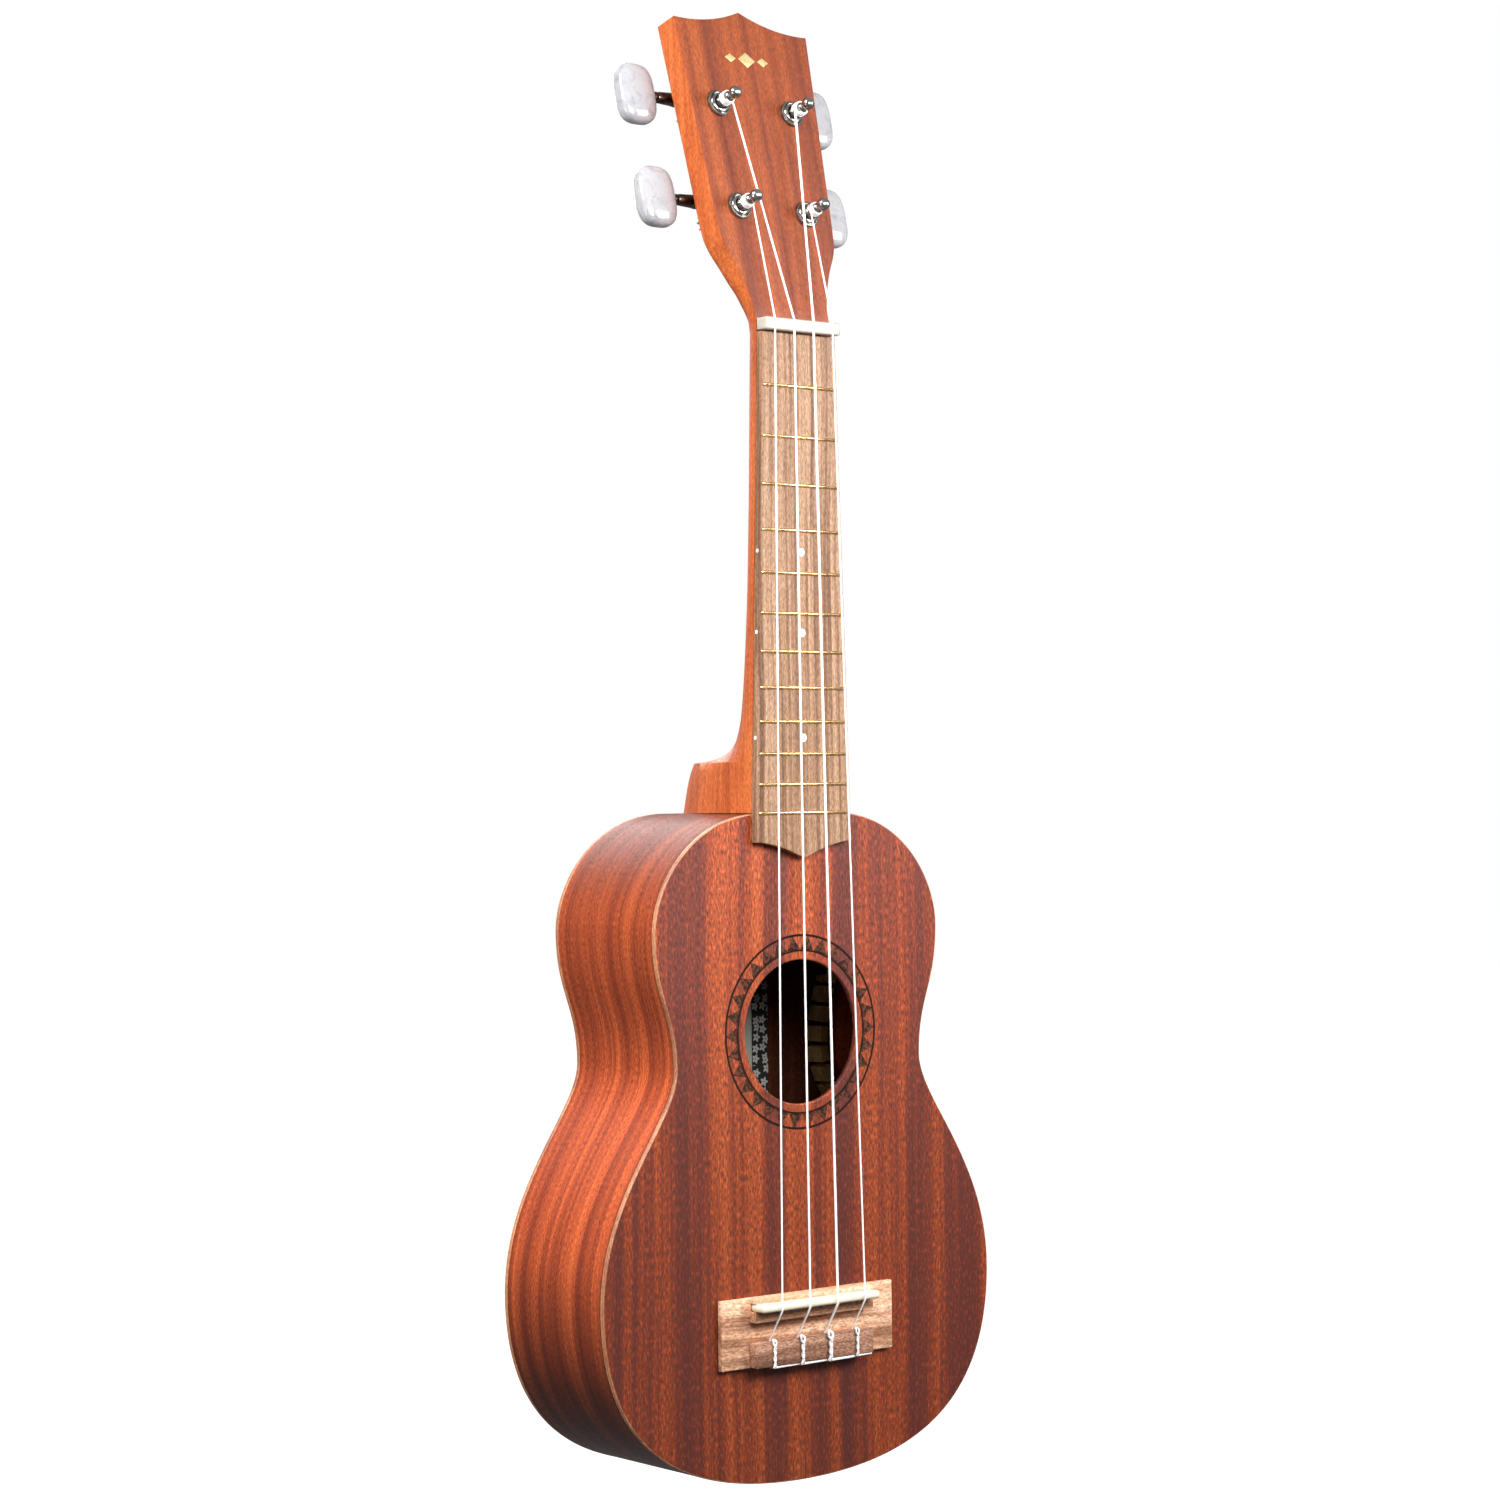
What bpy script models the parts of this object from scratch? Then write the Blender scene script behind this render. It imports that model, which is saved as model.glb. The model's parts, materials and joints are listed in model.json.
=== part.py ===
"""Soprano ukulele: hollow figure-of-eight body, twelve-fret neck, four geared tuners.

The origin is where the nut meets the fretboard, on the centre line of the neck's face.
+Z runs up the neck to the headstock, -Y is the side that is played, and X runs across.
"""
import math

import bmesh
import bpy
from mathutils import Matrix, Vector
from mathutils.geometry import interpolate_bezier

MM = 0.001

# ---- fits ---------------------------------------------------------------------------
CLEARANCE = 0.3 * MM          # between any two pieces that touch
ROUND_STEPS = 16              # sides of a turned piece

# ---- strings and frets --------------------------------------------------------------
SCALE_LENGTH = 346 * MM
FRET_COUNT = 12               # the last fret stands over the body's edge
COMPENSATION = 2.3 * MM       # the saddle stands this much past the scale length
STRING_RADII = (0.32 * MM, 0.38 * MM, 0.45 * MM, 0.32 * MM)
NUT_STRING_SPACING = 9.0 * MM
SADDLE_STRING_SPACING = 12.9 * MM
NUT_STRING_HEIGHT = 6.2 * MM      # string centre above the neck's face
SADDLE_STRING_HEIGHT = 11.1 * MM

# ---- body ---------------------------------------------------------------------------
BODY_LENGTH = 240 * MM
BODY_DEPTH = 59.5 * MM
LOWER_BOUT = 180 * MM
LOWER_BOUT_FROM_TAIL = 69 * MM
WAIST = 114 * MM
WAIST_FROM_SHOULDER = 90 * MM
UPPER_BOUT = 132 * MM
UPPER_BOUT_FROM_SHOULDER = 42 * MM
SHOULDER_FLAT = 33 * MM           # flat that the neck is glued to
TOP_THICKNESS = 2.0 * MM
BACK_THICKNESS = 2.0 * MM
RIB_THICKNESS = 1.8 * MM
SOUNDHOLE_DIAMETER = 52 * MM
SOUNDHOLE_FROM_SHOULDER = 79 * MM

# ---- inside the body ----------------------------------------------------------------
NECK_BLOCK_WIDTH = 48 * MM
NECK_BLOCK_LENGTH = 20 * MM
TAIL_BLOCK_WIDTH = 44 * MM
TAIL_BLOCK_LENGTH = 14 * MM
LINING_WIDTH = 4.5 * MM
LINING_HEIGHT = 8 * MM
BRACE_WIDTH = 5 * MM
BRACE_HEIGHT = 7 * MM
TOP_BRACES_FROM_SHOULDER = (44 * MM, 117 * MM)
BACK_BRACES_FROM_SHOULDER = (60 * MM, 150 * MM)

# ---- neck and fretboard -------------------------------------------------------------
NECK_WIDTH_AT_NUT = 34 * MM
NECK_WIDTH_AT_BODY = 43.6 * MM
NECK_DEPTH = 13.3 * MM
HEEL_DEPTH = 54 * MM
HEEL_GLUE_LINE = 14.5 * MM        # depth where the heel block is stacked on the neck
HEEL_BLOCK_LENGTH = 110 * MM      # how far up the neck that block would reach
BOARD_THICKNESS = 3.3 * MM
BOARD_PAST_BODY_EDGE = 10.4 * MM  # how far the fretboard's corners run onto the body
BOARD_TIP = 6 * MM                # the point in the middle of the board's end
FRET_WIDTH = 2.0 * MM
FRET_HEIGHT = 0.9 * MM
FRET_INSET = 0.6 * MM             # from the board's edge to the fret's end
NUT_LENGTH = 4.6 * MM

# ---- bridge -------------------------------------------------------------------------
BRIDGE_WIDTH = 80 * MM
BRIDGE_MIDDLE_WIDTH = 55 * MM
WING_THICKNESS = 2.3 * MM
RIDGE_HEIGHT = 6.2 * MM           # of the two raised bars above the soundboard
SADDLE_RIDGE_LENGTH = 8.6 * MM
GROOVE_LENGTH = 7.2 * MM
TIE_BLOCK_LENGTH = 9.0 * MM
SADDLE_THICKNESS = 2.8 * MM
SADDLE_SLOT_DEPTH = 3.2 * MM
TIE_HOLE_HEIGHT = 3.7 * MM

# ---- headstock ----------------------------------------------------------------------
HEAD_TILT = math.radians(14)
HEAD_THICKNESS = 11.5 * MM
HEAD_LENGTH = 121 * MM            # to the peak
HEAD_CORNER = 115.2 * MM          # to the corners beside the peak
HEAD_SCOOP = 2.0 * MM             # how hollow the edge is between corner and peak
HEAD_TOP_WIDTH = 62.4 * MM
HEAD_SHOULDER_WIDTH = 54.8 * MM
HEAD_SHOULDER = 38 * MM

# ---- tuners -------------------------------------------------------------------------
TUNER_ROWS = (("lower", 42.8 * MM, 15.8 * MM), ("upper", 82.6 * MM, 17.2 * MM))
POST_RADIUS = 2.4 * MM
POST_WAIST_RADIUS = 1.9 * MM
POST_TOP = 12.6 * MM              # above the headstock's face
STRING_SEAT = 5.2 * MM            # height above the face where the string meets the post
BUSHING_RADIUS = 5.0 * MM
BUSHING_SLEEVE_WALL = 0.6 * MM
BUSHING_SLEEVE_LENGTH = 8 * MM
GEAR_TEETH = 14
WORM_PITCH = 2.3 * MM
WORM_CENTRE_DISTANCE = 7.6 * MM
TOOTH_ADDENDUM = 0.65 * MM
TOOTH_DEDENDUM = 0.9 * MM
GEAR_THICKNESS = 3.6 * MM
GEAR_SEAT_RADIUS = 1.7 * MM       # the turned-down end of the post that carries the gear
GEAR_BORE_RADIUS = GEAR_SEAT_RADIUS + CLEARANCE
WORM_LENGTH = 7.0 * MM
WORM_SHAFT_RADIUS = 1.6 * MM
SPIGOT_RADIUS = 1.4 * MM          # the shaft's end inside the button
PLATE_THICKNESS = 1.0 * MM
PLATE_WIDTH = 12 * MM
PLATE_CORNER_RADIUS = 2 * MM
PLATE_BELOW_POST = 9.5 * MM
PLATE_ABOVE_WORM = 6.9 * MM
PLATE_SCREW_RADIUS = 1.0 * MM
PLATE_END_SCREW = 2.5 * MM        # screw hole to the end of the plate
LUG_THICKNESS = 1.6 * MM
LUG_RADIUS = 2.7 * MM
COLLAR_RADII = (2.7 * MM, 2.0 * MM)
BUTTON_SIZE = (15.5 * MM, 8.0 * MM, 22.5 * MM)
BUTTON_FROM_POST = 16.8 * MM      # post axis to the button's near end
BUTTON_BORE_DEPTH = 7 * MM
BUTTON_SQUARENESS = 2.8           # 2 would be an ellipsoid

# ---- places worked out from the sizes above -----------------------------------------
SHOULDER_Z = -SCALE_LENGTH / 2
TAIL_Z = SHOULDER_Z - BODY_LENGTH
SADDLE_Z = -(SCALE_LENGTH + COMPENSATION)
BRIDGE_TOP_Z = SADDLE_Z + SADDLE_RIDGE_LENGTH / 2 - 1.0 * MM
NECK_FACE_END = NUT_LENGTH + CLEARANCE
HEAD_FRAME = Matrix.Translation((0, CLEARANCE, NECK_FACE_END)) @ Matrix.Rotation(-HEAD_TILT, 4, "X")

# A flat piece is drawn in its own XY plane and given its thickness along its own Z.
FRONT_PLANE = Matrix(((1, 0, 0, 0), (0, 0, -1, 0), (0, 1, 0, 0), (0, 0, 0, 1)))   # x, z
SIDE_PLANE = Matrix(((0, 0, 1, 0), (1, 0, 0, 0), (0, 1, 0, 0), (0, 0, 0, 1)))     # y, z
TOWARDS_PLAYER = Matrix.Rotation(math.pi / 2, 4, "X")      # turns +Z to -Y


# ---- scene and materials ------------------------------------------------------------
for old in list(bpy.data.objects):
    bpy.data.objects.remove(old, do_unlink=True)

PARTS = bpy.data.collections.new("soprano_ukulele")
CUTTERS = bpy.data.collections.new("cutters")
bpy.context.scene.collection.children.link(PARTS)
bpy.context.scene.collection.children.link(CUTTERS)


def finish(name, colour, roughness, metallic=0.0):
    """A Principled material with one colour, for one kind of piece."""
    material = bpy.data.materials.new(name)
    material.use_nodes = True
    shader = material.node_tree.nodes["Principled BSDF"]
    shader.inputs["Base Color"].default_value = (*colour, 1)
    shader.inputs["Roughness"].default_value = roughness
    shader.inputs["Metallic"].default_value = metallic
    return material


TOP_WOOD = finish("top_mahogany", (0.34, 0.12, 0.06), 0.5)
SIDE_WOOD = finish("side_mahogany", (0.36, 0.11, 0.05), 0.4)
NECK_WOOD = finish("neck_mahogany", (0.62, 0.23, 0.08), 0.5)
WALNUT = finish("walnut", (0.40, 0.24, 0.15), 0.55)
BONE = finish("bone", (0.85, 0.80, 0.66), 0.35)
INNER_WOOD = finish("lining_wood", (0.66, 0.47, 0.26), 0.7)
FRET_METAL = finish("fret_wire", (0.72, 0.60, 0.38), 0.25, 1.0)
NICKEL = finish("nickel", (0.72, 0.71, 0.68), 0.15, 1.0)
DARK_NICKEL = finish("black_nickel", (0.12, 0.10, 0.09), 0.2, 1.0)
GEAR_BRASS = finish("gear_brass", (0.74, 0.55, 0.26), 0.3, 1.0)
PEARL = finish("pearl_plastic", (0.86, 0.85, 0.87), 0.2)
NYLON = finish("string_nylon", (0.88, 0.87, 0.84), 0.35)


# ---- mesh helpers -------------------------------------------------------------------
def add_object(name, mesh, material, collection=PARTS):
    """Puts a mesh in the scene as one named object with one material."""
    obj = bpy.data.objects.new(name, mesh)
    mesh.materials.clear()
    mesh.materials.append(material)
    collection.objects.link(obj)
    return obj


def hide_cutter(obj):
    """Keeps a cutting shape out of the model."""
    obj.hide_render = True
    obj.display_type = "WIRE"


def mesh_from_bmesh(name, bm):
    """Turns an edit mesh into a mesh and frees it."""
    mesh = bpy.data.meshes.new(name)
    bm.to_mesh(mesh)
    bm.free()
    return mesh


def evaluated_mesh(obj):
    """The mesh that an object shows, welded, with the object itself removed."""
    depsgraph = bpy.context.evaluated_depsgraph_get()
    depsgraph.update()
    mesh = bpy.data.meshes.new_from_object(obj.evaluated_get(depsgraph))
    bm = bmesh.new()
    bm.from_mesh(mesh)
    bmesh.ops.remove_doubles(bm, verts=bm.verts, dist=1e-6)
    bm.to_mesh(mesh)
    bm.free()
    bpy.data.objects.remove(obj, do_unlink=True)
    return mesh


def flat_mesh(name, loops, thickness):
    """A flat plate: the first loop is its outline and the others are holes in it."""
    curve = bpy.data.curves.new(name, "CURVE")
    curve.dimensions = "2D"
    curve.fill_mode = "BOTH"
    curve.extrude = thickness / 2
    for loop in loops:
        spline = curve.splines.new("POLY")
        spline.points.add(len(loop) - 1)
        for point, (across, along) in zip(spline.points, loop):
            point.co = (across, along, 0, 1)
        spline.use_cyclic_u = True
    obj = bpy.data.objects.new(name, curve)
    CUTTERS.objects.link(obj)
    return evaluated_mesh(obj)


def flat_piece(name, loops, thickness, centre, material, plane=FRONT_PLANE, collection=PARTS):
    """A flat plate standing in the given plane, with its middle layer at centre."""
    obj = add_object(name, flat_mesh(name, loops, thickness), material, collection)
    obj.matrix_world = Matrix.Translation(centre) @ plane
    return obj


def circle(radius, centre=(0, 0), steps=ROUND_STEPS):
    """Points round a circle."""
    turns = [2 * math.pi * step / steps for step in range(steps)]
    return [(centre[0] + radius * math.cos(t), centre[1] + radius * math.sin(t)) for t in turns]


def mirrored(half):
    """Closes a half outline that starts and ends on the centre line."""
    return half + [(-x, y) for x, y in reversed(half) if abs(x) > 1e-7]


def box_mesh(name, low, high, bevel=0.0):
    """A box between two corners, with rounded edges where bevel is given."""
    bm = bmesh.new()
    size = [high[axis] - low[axis] for axis in range(3)]
    middle = [(high[axis] + low[axis]) / 2 for axis in range(3)]
    bmesh.ops.create_cube(bm, size=1, matrix=Matrix.Translation(middle) @ Matrix.Diagonal((*size, 1)))
    if bevel:
        bmesh.ops.bevel(bm, geom=bm.edges[:], offset=bevel, segments=1, affect="EDGES")
    return mesh_from_bmesh(name, bm)


def box(name, low, high, material, bevel=0.0, collection=PARTS):
    """A box between two corners of the shared frame."""
    return add_object(name, box_mesh(name, low, high, bevel), material, collection)


def turned_piece(name, profile, material, closed=False, steps=ROUND_STEPS, collection=PARTS):
    """A turned piece about its own Z. The profile runs from top to bottom on its outer side."""
    bm = bmesh.new()
    corners = [bm.verts.new((radius, 0, height)) for radius, height in profile]
    for first, second in zip(corners, corners[1:]):
        bm.edges.new((first, second))
    if closed:
        bm.edges.new((corners[-1], corners[0]))
    obj = add_object(name, mesh_from_bmesh(name, bm), material, collection)
    screw = obj.modifiers.new("turn", "SCREW")
    screw.steps = steps
    screw.render_steps = steps
    screw.use_merge_vertices = True
    screw.merge_threshold = 1e-6
    return obj


def rod(name, radius, start, end, collection=CUTTERS, steps=ROUND_STEPS):
    """A plain round bar between two points, used to drill holes."""
    start = Vector(start)
    end = Vector(end)
    bm = bmesh.new()
    bmesh.ops.create_cone(bm, cap_ends=True, segments=steps, radius1=radius, radius2=radius,
                          depth=(end - start).length)
    obj = add_object(name, mesh_from_bmesh(name, bm), NICKEL, collection)
    turn = (end - start).to_track_quat("Z", "Y").to_matrix().to_4x4()
    obj.matrix_world = Matrix.Translation((start + end) / 2) @ turn
    return obj


def combine(obj, other, operation):
    """Cuts another shape out of an object, or joins it on."""
    modifier = obj.modifiers.new(operation.lower(), "BOOLEAN")
    modifier.operation = operation
    modifier.solver = "EXACT"
    modifier.object = other
    hide_cutter(other)


def smooth(obj, angle=35):
    """Shades the round faces smooth and keeps the edges that are sharper than the angle."""
    obj.data.shade_smooth()
    obj.data.set_sharp_from_angle(angle=math.radians(angle))


# ---- body outline -------------------------------------------------------------------
def half_outline(inset=0.0):
    """The right half of the body's outline, from tail to shoulder, moved inwards by inset."""
    waist_z = SHOULDER_Z - WAIST_FROM_SHOULDER
    lower_z = TAIL_Z + LOWER_BOUT_FROM_TAIL
    upper_z = SHOULDER_Z - UPPER_BOUT_FROM_SHOULDER
    low = LOWER_BOUT / 2
    mid = WAIST / 2
    high = UPPER_BOUT / 2
    flat = SHOULDER_FLAT / 2
    to_waist = waist_z - lower_z
    to_upper = upper_z - waist_z
    # Each bow is one curve: its start, the two handles that round it, its end and its steps.
    bows = (
        ((0, TAIL_Z), (0.69 * low, TAIL_Z), (low, lower_z - 0.65 * LOWER_BOUT_FROM_TAIL),
         (low, lower_z), 14),
        ((low, lower_z), (low, lower_z + 0.49 * to_waist), (mid, waist_z - 0.21 * to_waist),
         (mid, waist_z), 10),
        ((mid, waist_z), (mid, waist_z + 0.44 * to_upper), (high, upper_z - 0.48 * to_upper),
         (high, upper_z), 8),
        ((high, upper_z), (high, upper_z + 0.38 * UPPER_BOUT_FROM_SHOULDER),
         (flat + 0.69 * (high - flat), SHOULDER_Z), (flat, SHOULDER_Z), 10),
    )
    points = []
    for start, handle, other_handle, end, steps in bows:
        bow = interpolate_bezier(start, handle, other_handle, end, steps)
        points += [Vector((p[0], p[1])) for p in bow[:-1]]
    points += [Vector((flat, SHOULDER_Z)), Vector((0, SHOULDER_Z))]
    moved = []
    for index, point in enumerate(points):
        before = points[max(index - 1, 0)]
        after = points[min(index + 1, len(points) - 1)]
        along = (after - before).normalized()
        moved.append(point + Vector((-along.y, along.x)) * inset)
    moved[0].x = 0
    moved[-1].x = 0
    return [(p.x, p.y) for p in moved]


def half_width_at(height, inset):
    """Half the body's width at a height, measured inside the given inset."""
    half = half_outline(inset)
    for (x0, z0), (x1, z1) in zip(half, half[1:]):
        if z0 <= height <= z1 and z1 > z0:
            return x0 + (x1 - x0) * (height - z0) / (z1 - z0)
    return half[0][0]


def bent_strip(name, points, side, front, back, thickness, material):
    """A strip of wood bent along an outline, with its thickness on the body's inner side."""
    bm = bmesh.new()
    rows = [[bm.verts.new((side * x, depth, z)) for depth in (front, back)] for x, z in points]
    for (a, b), (c, d) in zip(rows, rows[1:]):
        corners = (a, b, d, c) if side > 0 else (a, c, d, b)
        bm.faces.new(corners)
    obj = add_object(name, mesh_from_bmesh(name, bm), material)
    shell = obj.modifiers.new("thickness", "SOLIDIFY")
    shell.thickness = thickness
    shell.offset = -1
    shell.use_even_offset = True
    smooth(obj)
    return obj


# ---- body ---------------------------------------------------------------------------
def make_plates():
    """Soundboard with its round hole, and the back."""
    outline = mirrored(half_outline())
    hole = circle(SOUNDHOLE_DIAMETER / 2, (0, SHOULDER_Z - SOUNDHOLE_FROM_SHOULDER), 40)
    flat_piece("soundboard", [outline, hole], TOP_THICKNESS, (0, TOP_THICKNESS / 2, 0), TOP_WOOD)
    flat_piece("back", [outline], BACK_THICKNESS, (0, BODY_DEPTH - BACK_THICKNESS / 2, 0), SIDE_WOOD)


def make_ribs():
    """Two bent sides that meet at the tail and under the neck."""
    for side, name in ((-1, "rib_left"), (1, "rib_right")):
        points = half_outline()
        points[0] = (CLEARANCE / 2, points[0][1])
        points[-1] = (CLEARANCE / 2, points[-1][1])
        bent_strip(name, points, side, TOP_THICKNESS + CLEARANCE,
                   BODY_DEPTH - BACK_THICKNESS - CLEARANCE, RIB_THICKNESS, SIDE_WOOD)


def half_height_of(half, width, upper):
    """The height where a half outline has the given half width, near its shoulder or its tail."""
    pairs = list(zip(half, half[1:]))
    if upper:
        pairs.reverse()
    for (x0, z0), (x1, z1) in pairs:
        if min(x0, x1) <= width <= max(x0, x1) and x0 != x1:
            return z0 + (z1 - z0) * (width - x0) / (x1 - x0)
    return half[0][1]


def make_blocks():
    """Neck block and tail block, shaped to the inside of the ribs."""
    inner = half_outline(RIB_THICKNESS + CLEARANCE)
    depth = BODY_DEPTH - TOP_THICKNESS - BACK_THICKNESS - 2 * CLEARANCE
    middle = (0, TOP_THICKNESS + CLEARANCE + depth / 2, 0)
    half_neck = NECK_BLOCK_WIDTH / 2
    waist_z = SHOULDER_Z - WAIST_FROM_SHOULDER
    top_edge = [p for p in inner if p[1] > waist_z and p[0] < half_neck]
    low = SHOULDER_Z - RIB_THICKNESS - NECK_BLOCK_LENGTH
    corner = (half_neck, half_height_of(inner, half_neck, True))
    neck_half = [(0, low), (half_neck, low), corner] + top_edge
    flat_piece("neck_block", [mirrored(neck_half)], depth, middle, INNER_WOOD)
    half_tail = TAIL_BLOCK_WIDTH / 2
    tail_edge = [p for p in inner if p[1] < waist_z and p[0] < half_tail]
    high = TAIL_Z + RIB_THICKNESS + TAIL_BLOCK_LENGTH
    corner = (half_tail, half_height_of(inner, half_tail, False))
    tail_half = tail_edge + [corner, (half_tail, high), (0, high)]
    flat_piece("tail_block", [mirrored(tail_half)], depth, middle, INNER_WOOD)


def make_linings():
    """Strips that widen the glue joint of ribs and plates, from block to block."""
    inset = RIB_THICKNESS + CLEARANCE
    inner = half_outline(inset)
    waist_z = SHOULDER_Z - WAIST_FROM_SHOULDER
    past_tail = TAIL_BLOCK_WIDTH / 2 + LINING_WIDTH / 2
    past_neck = NECK_BLOCK_WIDTH / 2 + LINING_WIDTH / 2
    run = [(past_tail, half_height_of(inner, past_tail, False))]
    run += [p for p in inner if p[0] > (past_tail if p[1] < waist_z else past_neck)]
    run += [(past_neck, half_height_of(inner, past_neck, True))]
    front = TOP_THICKNESS + CLEARANCE
    back = BODY_DEPTH - BACK_THICKNESS - CLEARANCE
    for side, hand in ((-1, "left"), (1, "right")):
        bent_strip("top_lining_" + hand, run, side, front, front + LINING_HEIGHT,
                   LINING_WIDTH, INNER_WOOD)
        bent_strip("back_lining_" + hand, run, side, back - LINING_HEIGHT, back,
                   LINING_WIDTH, INNER_WOOD)


def make_braces():
    """Bars across the inner faces of the soundboard and the back."""
    front = TOP_THICKNESS + CLEARANCE
    back = BODY_DEPTH - BACK_THICKNESS - CLEARANCE
    inset = RIB_THICKNESS + LINING_WIDTH + 2 * CLEARANCE
    rows = (("top_brace", TOP_BRACES_FROM_SHOULDER, front, front + BRACE_HEIGHT),
            ("back_brace", BACK_BRACES_FROM_SHOULDER, back - BRACE_HEIGHT, back))
    for label, places, low, high in rows:
        for place, distance in zip(("upper", "lower"), places):
            middle = SHOULDER_Z - distance
            edges = (middle - BRACE_WIDTH / 2, middle + BRACE_WIDTH / 2)
            reach = min(half_width_at(edge, inset) for edge in edges) - CLEARANCE
            box(label + "_" + place, (-reach, low, edges[0]), (reach, high, edges[1]),
                INNER_WOOD, bevel=0.8 * MM)


# ---- neck, heel and headstock -------------------------------------------------------
def neck_half_width(height):
    """Half the neck's width at a height, which grows evenly from the nut to the body."""
    share = height / SHOULDER_Z
    return (NECK_WIDTH_AT_NUT + (NECK_WIDTH_AT_BODY - NECK_WIDTH_AT_NUT) * share) / 2


def cross_section(half_width, depth, squareness, place):
    """A flat-faced section: round behind at squareness 2, close to a box at 12."""
    points = []
    for step in range(17):
        angle = math.pi * step / 16
        reach = abs(math.cos(angle)) ** (2 / squareness)
        x = math.copysign(half_width * reach, math.cos(angle))
        y = depth * math.sin(angle) ** (2 / squareness) if 0 < step < 16 else 0
        points.append(place @ Vector((x, y, 0)))
    return points


def loft(name, sections, material, collection=PARTS):
    """One closed skin through sections that have the same number of points."""
    bm = bmesh.new()
    rings = [[bm.verts.new(point) for point in section] for section in sections]
    for ring, following in zip(rings, rings[1:]):
        for index in range(len(ring)):
            after = (index + 1) % len(ring)
            bm.faces.new((ring[index], ring[after], following[after], following[index]))
    bm.faces.new(list(reversed(rings[0])))
    bm.faces.new(rings[-1])
    bmesh.ops.recalc_face_normals(bm, faces=bm.faces)
    obj = add_object(name, mesh_from_bmesh(name, bm), material, collection)
    return obj


def shaft_sections():
    """Sections of the neck from the body to the nut, with the heel's full depth."""
    # Height above the body's edge, and how deep the wood is there behind the neck's face.
    heel_profile = ((CLEARANCE, 1.15 * HEEL_DEPTH), (18.4 * MM, HEEL_DEPTH + 0.5 * MM),
                    (18.8 * MM, 0.89 * HEEL_DEPTH), (19.3 * MM, 0.79 * HEEL_DEPTH),
                    (20.5 * MM, 0.66 * HEEL_DEPTH), (21.9 * MM, 0.575 * HEEL_DEPTH),
                    (23.4 * MM, 0.51 * HEEL_DEPTH), (27 * MM, NECK_DEPTH + 10.2 * MM),
                    (34 * MM, NECK_DEPTH + 6.7 * MM), (42 * MM, NECK_DEPTH + 4.9 * MM),
                    (62 * MM, NECK_DEPTH + 2.4 * MM), (84 * MM, NECK_DEPTH + 0.7 * MM),
                    (112 * MM, NECK_DEPTH))
    sections = []
    for height, depth in heel_profile:
        z = SHOULDER_Z + height
        sections.append(cross_section(neck_half_width(z), depth, 2, Matrix.Translation((0, 0, z))))
    return sections


def head_sections():
    """Sections from the nut up to the top of the headstock."""
    nut_half = NECK_WIDTH_AT_NUT / 2
    shoulder_half = HEAD_SHOULDER_WIDTH / 2
    top_half = HEAD_TOP_WIDTH / 2
    flare = shoulder_half - nut_half
    start = Matrix.Identity(4)
    sections = [cross_section(nut_half, NECK_DEPTH, 2, start)]
    middle = Matrix.Translation((0, 0, NECK_FACE_END)) @ Matrix.Rotation(-HEAD_TILT / 3, 4, "X")
    sections.append(cross_section(nut_half + 0.02 * flare, NECK_DEPTH - 0.3 * MM, 2.2, middle))
    # Distance along the head, share of the flare, share of the full thickness, squareness.
    flare_profile = ((6 * MM, 0.06, 1.04, 2.8), (12 * MM, 0.20, 1.0, 4), (17 * MM, 0.36, 1.0, 6),
                     (22 * MM, 0.56, 1.0, 8), (27 * MM, 0.80, 1.0, 10), (30 * MM, 0.90, 1.0, 12),
                     (33 * MM, 0.96, 1.0, 14), (HEAD_SHOULDER, 1.0, 1.0, 16))
    for along, share, fullness, squareness in flare_profile:
        place = HEAD_FRAME @ Matrix.Translation((0, 0, along))
        sections.append(cross_section(nut_half + flare * share, HEAD_THICKNESS * fullness,
                                      squareness, place))
    slope = (top_half - shoulder_half) / (HEAD_CORNER - HEAD_SHOULDER)
    above = HEAD_LENGTH + 2 * MM
    place = HEAD_FRAME @ Matrix.Translation((0, 0, above))
    sections.append(cross_section(shoulder_half + slope * (above - HEAD_SHOULDER),
                                  HEAD_THICKNESS, 16, place))
    return sections


def head_top_cutter():
    """Everything above the two hollow curves that meet in the headstock's peak."""
    corner = Vector((HEAD_TOP_WIDTH / 2, HEAD_CORNER))
    peak = Vector((0, HEAD_LENGTH))
    chord = peak - corner
    inward = Vector((chord.y, -chord.x)).normalized()
    if inward.y > 0:
        inward = -inward
    edge = []
    for step in range(9):
        share = step / 8
        sag = 4 * HEAD_SCOOP * share * (1 - share)
        edge.append(corner + chord * share + inward * sag)
    outside = HEAD_TOP_WIDTH
    half = [(outside, HEAD_CORNER)] + [(p.x, p.y) for p in edge]
    loop = half + [(-x, y) for x, y in reversed(half[:-1])]
    loop += [(-outside, 2 * HEAD_LENGTH), (outside, 2 * HEAD_LENGTH)]
    cutter = flat_piece("cut_head_top", [loop], 4 * HEAD_THICKNESS, (0, 0, 0), NICKEL,
                        collection=CUTTERS)
    cutter.matrix_world = HEAD_FRAME @ FRONT_PLANE
    return cutter


def tuner_places():
    """Name, side, distance along the head and distance from the centre line of each tuner."""
    for row, along, across in TUNER_ROWS:
        for side, hand in ((-1, "left"), (1, "right")):
            yield hand + "_" + row, side, along, across


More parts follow.
